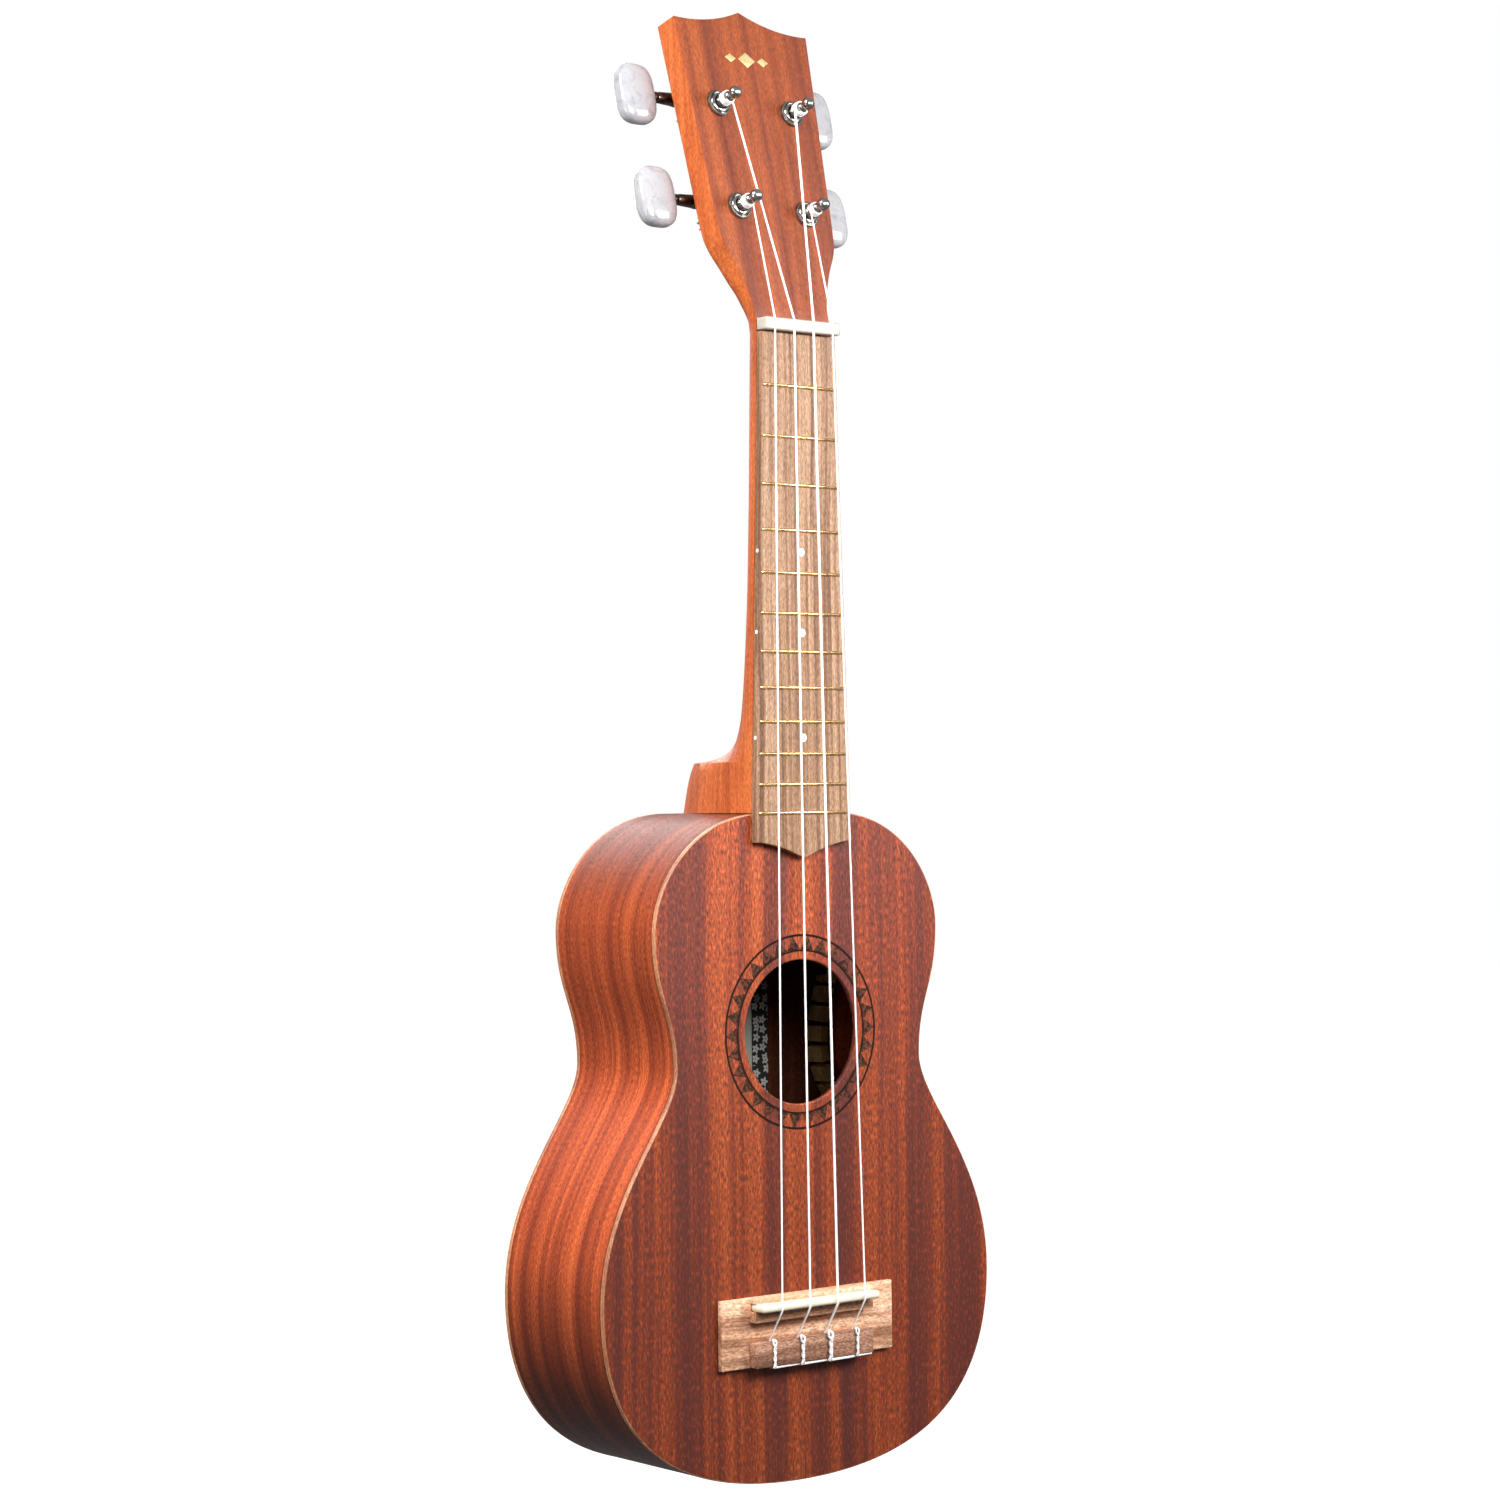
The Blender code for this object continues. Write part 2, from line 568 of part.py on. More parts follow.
def make_neck():
    """Neck and headstock in one piece of wood, with the heel block stacked on its back."""
    sections = shaft_sections() + head_sections()
    glue = HEEL_GLUE_LINE
    far = 3 * HEEL_DEPTH
    block_top = SHOULDER_Z + HEEL_BLOCK_LENGTH
    behind = box("cut_heel_block", (-far, glue - CLEARANCE / 2, TAIL_Z), (far, far, block_top),
                 NICKEL, collection=CUTTERS)
    before = box("cut_neck_shaft", (-far, -far, TAIL_Z), (far, glue + CLEARANCE / 2, far),
                 NICKEL, collection=CUTTERS)
    past_cap = box("cut_heel_cap", (-far, HEEL_DEPTH, TAIL_Z), (far, 2 * far, far),
                   NICKEL, collection=CUTTERS)
    neck = loft("neck", sections, NECK_WOOD)
    combine(neck, behind, "DIFFERENCE")
    combine(neck, head_top_cutter(), "DIFFERENCE")
    hole = POST_RADIUS + 2 * CLEARANCE + BUSHING_SLEEVE_WALL
    for name, side, along, across in tuner_places():
        start = HEAD_FRAME @ Vector((side * across, -HEAD_THICKNESS, along))
        end = HEAD_FRAME @ Vector((side * across, 2 * HEAD_THICKNESS, along))
        combine(neck, rod("drill_" + name, hole, start, end), "DIFFERENCE")
    smooth(neck)
    heel = loft("heel", shaft_sections(), NECK_WOOD)
    combine(heel, before, "DIFFERENCE")
    combine(heel, past_cap, "DIFFERENCE")
    smooth(heel)


# ---- fretboard, frets and nut -------------------------------------------------------
def fret_height(number):
    """Where a fret stands along the neck, below the nut."""
    return -SCALE_LENGTH * (1 - 2 ** (-number / 12))


def make_fretboard():
    """Board glued along the neck and onto the body, with a shallow point at its end."""
    corner_z = SHOULDER_Z - BOARD_PAST_BODY_EDGE
    half = neck_half_width(corner_z)
    point = interpolate_bezier((half, corner_z), (0.6 * half, corner_z - 0.1 * BOARD_TIP),
                               (0.3 * half, corner_z - 0.55 * BOARD_TIP),
                               (0, corner_z - BOARD_TIP), 7)
    right = [(p[0], p[1]) for p in reversed(point)]
    right += [(neck_half_width(-CLEARANCE), -CLEARANCE), (0, -CLEARANCE)]
    thickness = BOARD_THICKNESS - CLEARANCE
    flat_piece("fretboard", [mirrored(right)], thickness, (0, -CLEARANCE - thickness / 2, 0), WALNUT)


def make_frets():
    """Round-topped wires across the board at the equal-tempered stops."""
    seat = -BOARD_THICKNESS - CLEARANCE
    crown = FRET_HEIGHT - CLEARANCE
    bow = [math.pi * step / 6 for step in range(7)]
    profile = [(-crown * math.sin(t), FRET_WIDTH / 2 * math.cos(t)) for t in bow]
    for number in range(1, FRET_COUNT + 1):
        height = fret_height(number)
        length = 2 * (neck_half_width(height) - FRET_INSET)
        wire = flat_piece("fret_%02d" % number, [profile], length, (0, seat, height),
                          FRET_METAL, plane=SIDE_PLANE)
        smooth(wire, 50)


def string_side(index):
    """Where a string lies between the outer two: -1.5, -0.5, 0.5 or 1.5 spacings."""
    return index - (len(STRING_RADII) - 1) / 2


def make_nut():
    """Nut with one shallow slot for each string."""
    half = NECK_WIDTH_AT_NUT / 2 + 0.3 * MM
    nut = box("nut", (-half, -NUT_STRING_HEIGHT, CLEARANCE / 2), (half, -CLEARANCE, NUT_LENGTH),
              BONE, bevel=0.5 * MM)
    for index, radius in enumerate(STRING_RADII):
        x = string_side(index) * NUT_STRING_SPACING
        slot = rod("slot_nut_%d" % index, radius + CLEARANCE, (x, -NUT_STRING_HEIGHT, -NUT_LENGTH),
                   (x, -NUT_STRING_HEIGHT, 2 * NUT_LENGTH), steps=12)
        combine(nut, slot, "DIFFERENCE")


# ---- bridge, saddle and strings -----------------------------------------------------
def make_bridge():
    """Bridge with thin wings, a slotted saddle bar and a drilled tie block."""
    length = SADDLE_RIDGE_LENGTH + GROOVE_LENGTH + TIE_BLOCK_LENGTH
    bottom_z = BRIDGE_TOP_Z - length
    half = BRIDGE_WIDTH / 2
    middle = BRIDGE_MIDDLE_WIDTH / 2
    foot = -CLEARANCE
    overlap = WING_THICKNESS / 2
    bridge = box("bridge", (-half, -WING_THICKNESS, bottom_z), (half, foot, BRIDGE_TOP_Z),
                 WALNUT, bevel=0.5 * MM)
    bars = (("saddle_bar", BRIDGE_TOP_Z - SADDLE_RIDGE_LENGTH, BRIDGE_TOP_Z - 0.2 * MM),
            ("tie_bar", bottom_z + 0.2 * MM, bottom_z + TIE_BLOCK_LENGTH))
    for name, low, high in bars:
        bar = box(name, (-middle, -RIDGE_HEIGHT, low), (middle, -overlap, high), WALNUT,
                  bevel=0.5 * MM, collection=CUTTERS)
        combine(bridge, bar, "UNION")
    slot_half = SADDLE_THICKNESS / 2 + CLEARANCE
    slot_end = middle + CLEARANCE
    slot = box("cut_saddle_slot", (-slot_end, -2 * RIDGE_HEIGHT, SADDLE_Z - slot_half),
               (slot_end, -RIDGE_HEIGHT + SADDLE_SLOT_DEPTH, SADDLE_Z + slot_half),
               NICKEL, collection=CUTTERS)
    combine(bridge, slot, "DIFFERENCE")
    for index, radius in enumerate(STRING_RADII):
        x = string_side(index) * SADDLE_STRING_SPACING
        hole = rod("drill_tie_%d" % index, radius + CLEARANCE,
                   (x, -TIE_HOLE_HEIGHT, bottom_z - TIE_BLOCK_LENGTH),
                   (x, -TIE_HOLE_HEIGHT, bottom_z + TIE_BLOCK_LENGTH + GROOVE_LENGTH / 2), steps=12)
        combine(bridge, hole, "DIFFERENCE")


def make_saddle():
    """Saddle standing in the bridge's slot, with a rounded crest under the strings."""
    half = BRIDGE_MIDDLE_WIDTH / 2
    crest = SADDLE_STRING_HEIGHT - max(STRING_RADII) - CLEARANCE
    foot = -RIDGE_HEIGHT + SADDLE_SLOT_DEPTH - CLEARANCE
    box("saddle", (-half, -crest, SADDLE_Z - SADDLE_THICKNESS / 2),
        (half, foot, SADDLE_Z + SADDLE_THICKNESS / 2), BONE, bevel=0.7 * MM)


def make_strings():
    """Four strings, each held from the tie block over saddle and nut to its post."""
    bottom_z = BRIDGE_TOP_Z - SADDLE_RIDGE_LENGTH - GROOVE_LENGTH - TIE_BLOCK_LENGTH
    behind_saddle = SADDLE_Z - SADDLE_THICKNESS / 2 - CLEARANCE
    before_saddle = SADDLE_Z + SADDLE_THICKNESS / 2 + CLEARANCE
    for index, radius in enumerate(STRING_RADII):
        side = string_side(index)
        x_saddle = side * SADDLE_STRING_SPACING
        x_nut = side * NUT_STRING_SPACING
        _, along, across = TUNER_ROWS[0] if abs(side) > 1 else TUNER_ROWS[1]
        sign = math.copysign(1, side)
        x_post = sign * (across - POST_WAIST_RADIUS - radius - CLEARANCE)
        post = HEAD_FRAME @ Vector((x_post, -STRING_SEAT, along))
        route = ((x_saddle, -TIE_HOLE_HEIGHT, bottom_z - CLEARANCE),
                 (x_saddle, -TIE_HOLE_HEIGHT, bottom_z + TIE_BLOCK_LENGTH + 1 * MM),
                 (x_saddle, -SADDLE_STRING_HEIGHT, behind_saddle),
                 (x_saddle, -SADDLE_STRING_HEIGHT, before_saddle),
                 (x_nut, -NUT_STRING_HEIGHT, 0), (x_nut, -NUT_STRING_HEIGHT, NUT_LENGTH), post)
        curve = bpy.data.curves.new("string_%d" % (index + 1), "CURVE")
        curve.dimensions = "3D"
        curve.bevel_depth = radius
        curve.bevel_resolution = 2
        curve.use_fill_caps = True
        spline = curve.splines.new("POLY")
        spline.points.add(len(route) - 1)
        for point, place in zip(spline.points, route):
            point.co = (*place, 1)
        curve.materials.append(NYLON)
        PARTS.objects.link(bpy.data.objects.new(curve.name, curve))


# ---- tuners -------------------------------------------------------------------------
GEAR_PITCH_RADIUS = GEAR_TEETH * WORM_PITCH / (2 * math.pi)
WORM_PITCH_RADIUS = WORM_CENTRE_DISTANCE - GEAR_PITCH_RADIUS
WORM_CREST_RADIUS = WORM_PITCH_RADIUS + TOOTH_ADDENDUM
# The worm clears the plate, and the gear's middle is level with the worm's axis.
WORM_DEPTH = HEAD_THICKNESS + 2 * CLEARANCE + PLATE_THICKNESS + WORM_CREST_RADIUS


def post_mesh():
    """String post: a ball on top, a waist for the string, and a seat for the gear below."""
    gear_front = WORM_DEPTH - GEAR_THICKNESS / 2
    ball = POST_TOP - POST_RADIUS
    profile = [(0, POST_TOP)]
    for step in range(1, 5):
        angle = math.radians(75 - 35 * step + 15)
        profile.append((POST_RADIUS * math.cos(angle), ball + POST_RADIUS * math.sin(angle)))
    profile += [(1.6 * MM, 7.6 * MM), (POST_WAIST_RADIUS, 7.2 * MM), (POST_WAIST_RADIUS, 3.4 * MM),
                (POST_RADIUS, 2.8 * MM), (POST_RADIUS, -gear_front + CLEARANCE),
                (GEAR_SEAT_RADIUS, -gear_front + CLEARANCE),
                (GEAR_SEAT_RADIUS, -gear_front - GEAR_THICKNESS),
                (0, -gear_front - GEAR_THICKNESS)]
    return evaluated_mesh(turned_piece("post", profile, NICKEL, steps=12, collection=CUTTERS))


def bushing_mesh():
    """Press-in ferrule: a stepped flange on the face and a sleeve down the hole."""
    bore = POST_RADIUS + CLEARANCE
    sleeve = bore + BUSHING_SLEEVE_WALL
    profile = [(bore, 1.9 * MM), (3.6 * MM, 1.6 * MM), (3.9 * MM, 1.0 * MM), (4.5 * MM, 1.2 * MM),
               (BUSHING_RADIUS, 0.8 * MM), (BUSHING_RADIUS, CLEARANCE), (sleeve, CLEARANCE),
               (sleeve, -BUSHING_SLEEVE_LENGTH), (bore, -BUSHING_SLEEVE_LENGTH)]
    shape = turned_piece("bushing", profile, NICKEL, closed=True, steps=14, collection=CUTTERS)
    return evaluated_mesh(shape)


def gear_mesh():
    """Toothed wheel, with a gap between two teeth where the worm's thread enters."""
    step = 2 * math.pi / GEAR_TEETH
    tip = GEAR_PITCH_RADIUS + TOOTH_ADDENDUM
    root = GEAR_PITCH_RADIUS - TOOTH_DEDENDUM
    outline = []
    for tooth in range(GEAR_TEETH):
        middle = math.pi / 2 + step * (tooth + 0.5)
        for radius, share in ((root, -0.25), (tip, -0.10), (tip, 0.10), (root, 0.25)):
            angle = middle + share * step
            outline.append((radius * math.cos(angle), radius * math.sin(angle)))
    bore = circle(GEAR_BORE_RADIUS, steps=14)
    return flat_mesh("gear", [outline, bore], GEAR_THICKNESS)


def thread_shape():
    """A length of worm thread round its own X axis, cut square at both ends."""
    crest = WORM_CREST_RADIUS
    root = WORM_SHAFT_RADIUS - 0.4 * MM
    half_crest = 0.09 * WORM_PITCH
    half_root = 0.26 * WORM_PITCH
    turns = math.ceil(WORM_LENGTH / WORM_PITCH) + 3
    steps = 9
    bm = bmesh.new()
    # One pitch of the thread's outline, on the side that faces the gear.
    outline = ((-half_root, root), (-half_crest, crest), (half_crest, crest), (half_root, root),
               (WORM_PITCH - half_root, root))
    start = -(turns // 2) * WORM_PITCH
    corners = [bm.verts.new((start + x, 0, -radius)) for x, radius in outline]
    edges = [bm.edges.new(pair) for pair in zip(corners, corners[1:])]
    bmesh.ops.spin(bm, geom=corners + edges, axis=(1, 0, 0), cent=(0, 0, 0),
                   dvec=(WORM_PITCH / steps, 0, 0), angle=2 * math.pi * turns,
                   steps=steps * turns, use_duplicate=False)
    bmesh.ops.remove_doubles(bm, verts=bm.verts, dist=1e-6)
    for end, normal in ((-WORM_LENGTH / 2, -1), (WORM_LENGTH / 2, 1)):
        geometry = bm.verts[:] + bm.edges[:] + bm.faces[:]
        bmesh.ops.bisect_plane(bm, geom=geometry, plane_co=(end, 0, 0), plane_no=(normal, 0, 0),
                               clear_outer=True)
        rim = [e for e in bm.edges if e.is_boundary and abs(e.verts[0].co.x - end) < 1e-6
               and abs(e.verts[1].co.x - end) < 1e-6]
        bmesh.ops.edgeloop_fill(bm, edges=rim)
    bmesh.ops.recalc_face_normals(bm, faces=bm.faces)
    return add_object("worm_thread", mesh_from_bmesh("worm_thread", bm), DARK_NICKEL, CUTTERS)


def worm_shaft_mesh():
    """Worm on its shaft along +X: an inner journal, the thread, a collar and a button spigot."""
    inner_end = WORM_LENGTH / 2 + 2 * CLEARANCE + LUG_THICKNESS + 0.4 * MM
    collar = WORM_LENGTH / 2 + 3 * CLEARANCE + LUG_THICKNESS
    near = BUTTON_FROM_POST - CLEARANCE
    profile = [(0, near + BUTTON_BORE_DEPTH), (SPIGOT_RADIUS, near + BUTTON_BORE_DEPTH),
               (SPIGOT_RADIUS, near), (COLLAR_RADII[1], near), (COLLAR_RADII[1], near - 1.5 * MM),
               (COLLAR_RADII[0], collar + 1.0 * MM), (COLLAR_RADII[0], collar),
               (WORM_SHAFT_RADIUS, collar), (WORM_SHAFT_RADIUS, -inner_end), (0, -inner_end)]
    shaft = turned_piece("worm_shaft", profile, DARK_NICKEL, steps=12, collection=CUTTERS)
    turned = evaluated_mesh(shaft)
    turned.transform(Matrix.Rotation(math.pi / 2, 4, "Y"))
    whole = add_object("worm_shaft", turned, DARK_NICKEL, CUTTERS)
    thread = thread_shape()
    combine(whole, thread, "UNION")
    return evaluated_mesh(whole)


def rounded_rectangle(half, low, high, radius, steps=3):
    """Outline of a plate with rounded corners, from x = -half to half."""
    middles = ((half - radius, low + radius, -90), (half - radius, high - radius, 0),
               (radius - half, high - radius, 90), (radius - half, low + radius, 180))
    points = []
    for across, along, first in middles:
        for step in range(steps + 1):
            turn = math.radians(first + 90 * step / steps)
            points.append((across + radius * math.cos(turn), along + radius * math.sin(turn)))
    return points


def tuner_plate_mesh():
    """Base plate with two lugs that carry the worm shaft. Its origin is on the post's axis."""
    top = WORM_CENTRE_DISTANCE + PLATE_ABOVE_WORM
    screws = (PLATE_END_SCREW - PLATE_BELOW_POST, top - PLATE_END_SCREW)
    loops = [rounded_rectangle(PLATE_WIDTH / 2, -PLATE_BELOW_POST, top, PLATE_CORNER_RADIUS),
             circle(POST_RADIUS + CLEARANCE, steps=14)]
    loops += [circle(PLATE_SCREW_RADIUS, (0, place), 8) for place in screws]
    middle = HEAD_THICKNESS + CLEARANCE + PLATE_THICKNESS / 2
    plate = flat_piece("tuner_plate", loops, PLATE_THICKNESS, (0, middle, 0), DARK_NICKEL,
                       collection=CUTTERS)
    bend = [math.pi * step / 6 for step in range(7)]
    outline = [(middle, WORM_CENTRE_DISTANCE - LUG_RADIUS)]
    outline += [(WORM_DEPTH + LUG_RADIUS * math.sin(t),
                 WORM_CENTRE_DISTANCE - LUG_RADIUS * math.cos(t)) for t in bend]
    outline.append((middle, WORM_CENTRE_DISTANCE + LUG_RADIUS))
    bore = circle(WORM_SHAFT_RADIUS + CLEARANCE, (WORM_DEPTH, WORM_CENTRE_DISTANCE), 14)
    from_post = WORM_LENGTH / 2 + CLEARANCE + LUG_THICKNESS / 2
    for side in (-1, 1):
        lug = flat_piece("lug", [outline, bore], LUG_THICKNESS, (side * from_post, 0, 0),
                         DARK_NICKEL, plane=SIDE_PLANE, collection=CUTTERS)
        combine(plate, lug, "UNION")
    mesh = evaluated_mesh(plate)
    mesh.transform(FRONT_PLANE)
    mesh.transform(Matrix.Translation((0, middle, 0)))
    return mesh


def button_mesh():
    """Pillow-shaped knob on the end of the worm shaft, drilled for the shaft's spigot."""
    bm = bmesh.new()
    bmesh.ops.create_uvsphere(bm, u_segments=14, v_segments=8, radius=1)
    for vert in bm.verts:
        reach = sum(abs(c) ** BUTTON_SQUARENESS for c in vert.co) ** (1 / BUTTON_SQUARENESS)
        vert.co = [c / reach * size / 2 for c, size in zip(vert.co, BUTTON_SIZE)]
    near = BUTTON_FROM_POST
    bmesh.ops.translate(bm, verts=bm.verts, vec=(near + BUTTON_SIZE[0] / 2, 0, 0))
    knob = add_object("button", mesh_from_bmesh("button", bm), PEARL, CUTTERS)
    bore = rod("drill_button", SPIGOT_RADIUS + CLEARANCE, (near - BUTTON_BORE_DEPTH, 0, 0),
               (near + BUTTON_BORE_DEPTH + CLEARANCE, 0, 0), steps=14)
    combine(knob, bore, "DIFFERENCE")
    return evaluated_mesh(knob)


def make_tuners():
    """Four geared machines. The worm shafts on the left point left, turned half round."""
    head = bpy.data.objects.new("headstock_frame", None)
    PARTS.objects.link(head)
    head.matrix_world = HEAD_FRAME
    meshes = {"post": post_mesh(), "bushing": bushing_mesh(), "gear": gear_mesh(),
              "worm_shaft": worm_shaft_mesh(), "tuner_plate": tuner_plate_mesh(),
              "button": button_mesh()}
    looks = {"post": NICKEL, "bushing": NICKEL, "gear": GEAR_BRASS, "worm_shaft": DARK_NICKEL,
             "tuner_plate": DARK_NICKEL, "button": PEARL}
    gear_place = Matrix.Translation((0, WORM_DEPTH, 0)) @ TOWARDS_PLAYER
    worm_place = Matrix.Translation((0, WORM_DEPTH, WORM_CENTRE_DISTANCE))
    for name, side, along, across in tuner_places():
        axis = bpy.data.objects.new("post_axis_" + name, None)
        PARTS.objects.link(axis)
        axis.parent = head
        axis.location = (side * across, 0, along)
        facing = worm_place @ Matrix.Rotation(math.pi if side < 0 else 0, 4, "Z")
        places = {"post": TOWARDS_PLAYER, "bushing": TOWARDS_PLAYER, "gear": gear_place,
                  "worm_shaft": facing, "tuner_plate": Matrix.Identity(4), "button": facing}
        for piece, mesh in meshes.items():
            obj = add_object(piece + "_" + name, mesh, looks[piece])
            obj.parent = axis
            obj.matrix_local = places[piece]
            smooth(obj)


make_plates()
make_ribs()
make_blocks()
make_linings()
make_braces()
make_neck()
make_fretboard()
make_frets()
make_nut()
make_bridge()
make_saddle()
make_strings()
make_tuners()
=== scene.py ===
"""Looks for a small four-string instrument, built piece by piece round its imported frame."""
import json
import math

import bmesh
import bpy
import numpy as np
from mathutils import Matrix, Vector
from mathutils.geometry import interpolate_bezier


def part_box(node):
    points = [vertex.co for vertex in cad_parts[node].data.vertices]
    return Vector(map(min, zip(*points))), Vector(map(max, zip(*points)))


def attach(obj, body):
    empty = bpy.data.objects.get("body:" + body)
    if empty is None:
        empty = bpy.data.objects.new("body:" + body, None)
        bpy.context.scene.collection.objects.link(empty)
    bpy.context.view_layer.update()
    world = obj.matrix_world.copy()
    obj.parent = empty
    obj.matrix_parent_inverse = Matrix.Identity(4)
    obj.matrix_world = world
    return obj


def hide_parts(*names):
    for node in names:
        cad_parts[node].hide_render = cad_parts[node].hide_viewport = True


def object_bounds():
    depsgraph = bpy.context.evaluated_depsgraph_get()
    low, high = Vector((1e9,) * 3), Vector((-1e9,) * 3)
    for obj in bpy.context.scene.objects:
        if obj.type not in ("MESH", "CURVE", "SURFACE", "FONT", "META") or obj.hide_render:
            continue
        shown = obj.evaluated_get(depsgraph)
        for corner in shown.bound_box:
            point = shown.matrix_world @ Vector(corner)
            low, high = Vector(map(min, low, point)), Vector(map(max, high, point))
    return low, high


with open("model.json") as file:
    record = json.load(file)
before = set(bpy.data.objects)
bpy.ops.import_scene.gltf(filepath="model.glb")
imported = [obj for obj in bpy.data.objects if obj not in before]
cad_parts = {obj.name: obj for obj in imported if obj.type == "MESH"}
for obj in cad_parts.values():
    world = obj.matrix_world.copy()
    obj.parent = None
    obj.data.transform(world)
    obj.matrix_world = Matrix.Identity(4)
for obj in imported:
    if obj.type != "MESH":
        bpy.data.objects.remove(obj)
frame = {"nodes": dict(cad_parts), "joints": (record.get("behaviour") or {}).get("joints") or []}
packed_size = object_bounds()

# ---- studio --------------------------------------------------------------------------------
# The instrument hangs by its headstock, well above a pale floor that shades into a white
# backdrop. Soft lamps stand in front, at both sides and behind.
class Flow:
    """A socket in a node tree. Sums and products of flows add the nodes that work them out."""

    def __init__(self, tree, socket=None):
        self.tree = tree
        self.socket = socket

    def node(self, kind, settings=None, sockets=None, output=0, **named):
        """Adds a node, sets how it works, then gives its sockets values or links."""
        made = self.tree.nodes.new(kind if "Node" in kind else self.tree.bl_idname[:-4] + kind)
        for name, value in (settings or {}).items():
            if name == "stops":
                ramp = made.color_ramp.elements
                while len(ramp) > 1:
                    ramp.remove(ramp[-1])
                for index, (place, colour) in enumerate(value):
                    stop = ramp[0] if index == 0 else ramp.new(place)
                    stop.position = place
                    stop.color = (*colour, 1)
            else:
                setattr(made, name, value)
        sockets = {**(sockets or {}),
                   **{name.replace("_", " "): value for name, value in named.items()}}
        for name, value in sockets.items():
            if isinstance(value, Flow):
                self.tree.links.new(value.socket, made.inputs[name])
            else:
                made.inputs[name].default_value = value
        return Flow(self.tree, made.outputs[output])

    def also(self, output):
        """Another output of the node that this flow comes from."""
        return Flow(self.tree, self.socket.node.outputs[output])

    def maths(self, operation, *others):
        """One Math node, with this flow as its first value."""
        return self.node("ShaderNodeMath", {"operation": operation},
                         dict(enumerate((self, *others))))

    def __add__(self, other):
        return self.maths("ADD", other)

    def __radd__(self, other):
        return self.maths("ADD", other)

    def __sub__(self, other):
        return self.maths("SUBTRACT", other)

    def __rsub__(self, other):
        return (self * -1.0).maths("ADD", other)

    def __mul__(self, other):
        return self.maths("MULTIPLY", other)

    def __rmul__(self, other):
        return self.maths("MULTIPLY", other)

    def __truediv__(self, other):
        return self.maths("DIVIDE", other)

    def __rtruediv__(self, other):
        return self.maths("POWER", -1.0).maths("MULTIPLY", other)

    def between(self, low, high):
        """0 below low, 1 above high, and a smooth rise from one to the other."""
        return self.node("ShaderNodeMapRange", {"interpolation_type": "SMOOTHSTEP"},
                         {"Value": self, "From Min": low, "From Max": high})

    def place(self):
        """Object coordinates."""
        return self.node("TexCoord", output="Object")

    def vector(self, x, y, z):
        """Three values as one vector."""
        return self.node("ShaderNodeCombineXYZ", X=x, Y=y, Z=z)

    def noise(self, vector, scale, detail=2.0, roughness=0.5, distortion=0.0):
        """Cloudy values from 0 to 1."""
        return self.node("ShaderNodeTexNoise", Vector=vector, Scale=scale, Detail=detail,
                         Roughness=roughness, Distortion=distortion)

    def mix(self, share, first, second, how="MIX"):
        """Two colours mixed by a share."""
        return self.node("ShaderNodeMix", {"data_type": "RGBA", "blend_type": how},
                         {0: share, 6: first, 7: second}, output=2)

    def ramp(self, stops):
        """This value turned into a colour."""
        return self.node("ShaderNodeValToRGB", {"stops": stops}, {"Fac": self})


def mesh_of(work, name, outward=True):
    """Ends a bmesh and gives back what it holds as a mesh."""
    if outward:
        bmesh.ops.recalc_face_normals(work, faces=work.faces)
    mesh = bpy.data.meshes.new(name)
    work.to_mesh(mesh)
    work.free()
    return mesh


def placed(name, data):
    """A new object in the scene."""
    obj = bpy.data.objects.new(name, data)
    bpy.context.scene.collection.objects.link(obj)
    return obj


mm = 0.001
hanging_over_floor, floor_radius = 0.30, 9
white = (1, 1, 1, 1)

work = bmesh.new()
bmesh.ops.create_circle(work, cap_ends=True, segments=96, radius=floor_radius,
                        matrix=Matrix.Translation((0, 0, packed_size[0].z - hanging_over_floor)))
floor_mesh = mesh_of(work, "studio_floor", outward=False)
floor = placed("studio_floor", floor_mesh)
paint = bpy.data.materials.new("pale_floor_paint")
paint.use_nodes = True
for socket, value in (("Base Color", (0.30, 0.30, 0.30, 1)), ("Roughness", 0.9),
                      ("Emission Color", white), ("Emission Strength", 1.0)):
    paint.node_tree.nodes["Principled BSDF"].inputs[socket].default_value = value
floor_mesh.materials.append(paint)
floor.visible_diffuse = False
floor.visible_glossy = False

# The backdrop is white. What lights the wood is a room that is dim below and paler above,
# and it is brighter where polished things mirror it.
sky = bpy.data.worlds.new("studio_sky")
sky.use_nodes = True
bpy.context.scene.world = sky
flow = Flow(sky.node_tree)
backdrop = sky.node_tree.nodes["Background"]
backdrop.inputs["Color"].default_value = white
direction = flow.node("TexCoord", output="Generated")
height = flow.node("SeparateXYZ", Vector=direction, output="Z")
fade = flow.node("MapRange", Value=height, From_Min=-0.5, From_Max=0.7, To_Min=0.06, To_Max=0.30)
mirrored = flow.node("LightPath", output="Is Glossy Ray")
seen = mirrored.also("Is Camera Ray")
room = flow.node("Background", Color=(0.95, 0.97, 1.0, 1), Strength=mirrored * 0.22 + fade)
which = flow.node("MixShader", None, {0: seen, 1: room, 2: Flow(flow.tree, backdrop.outputs[0])})
flow.tree.links.new(which.socket, sky.node_tree.nodes["World Output"].inputs["Surface"])
bpy.context.scene.view_settings.view_transform = "Standard"

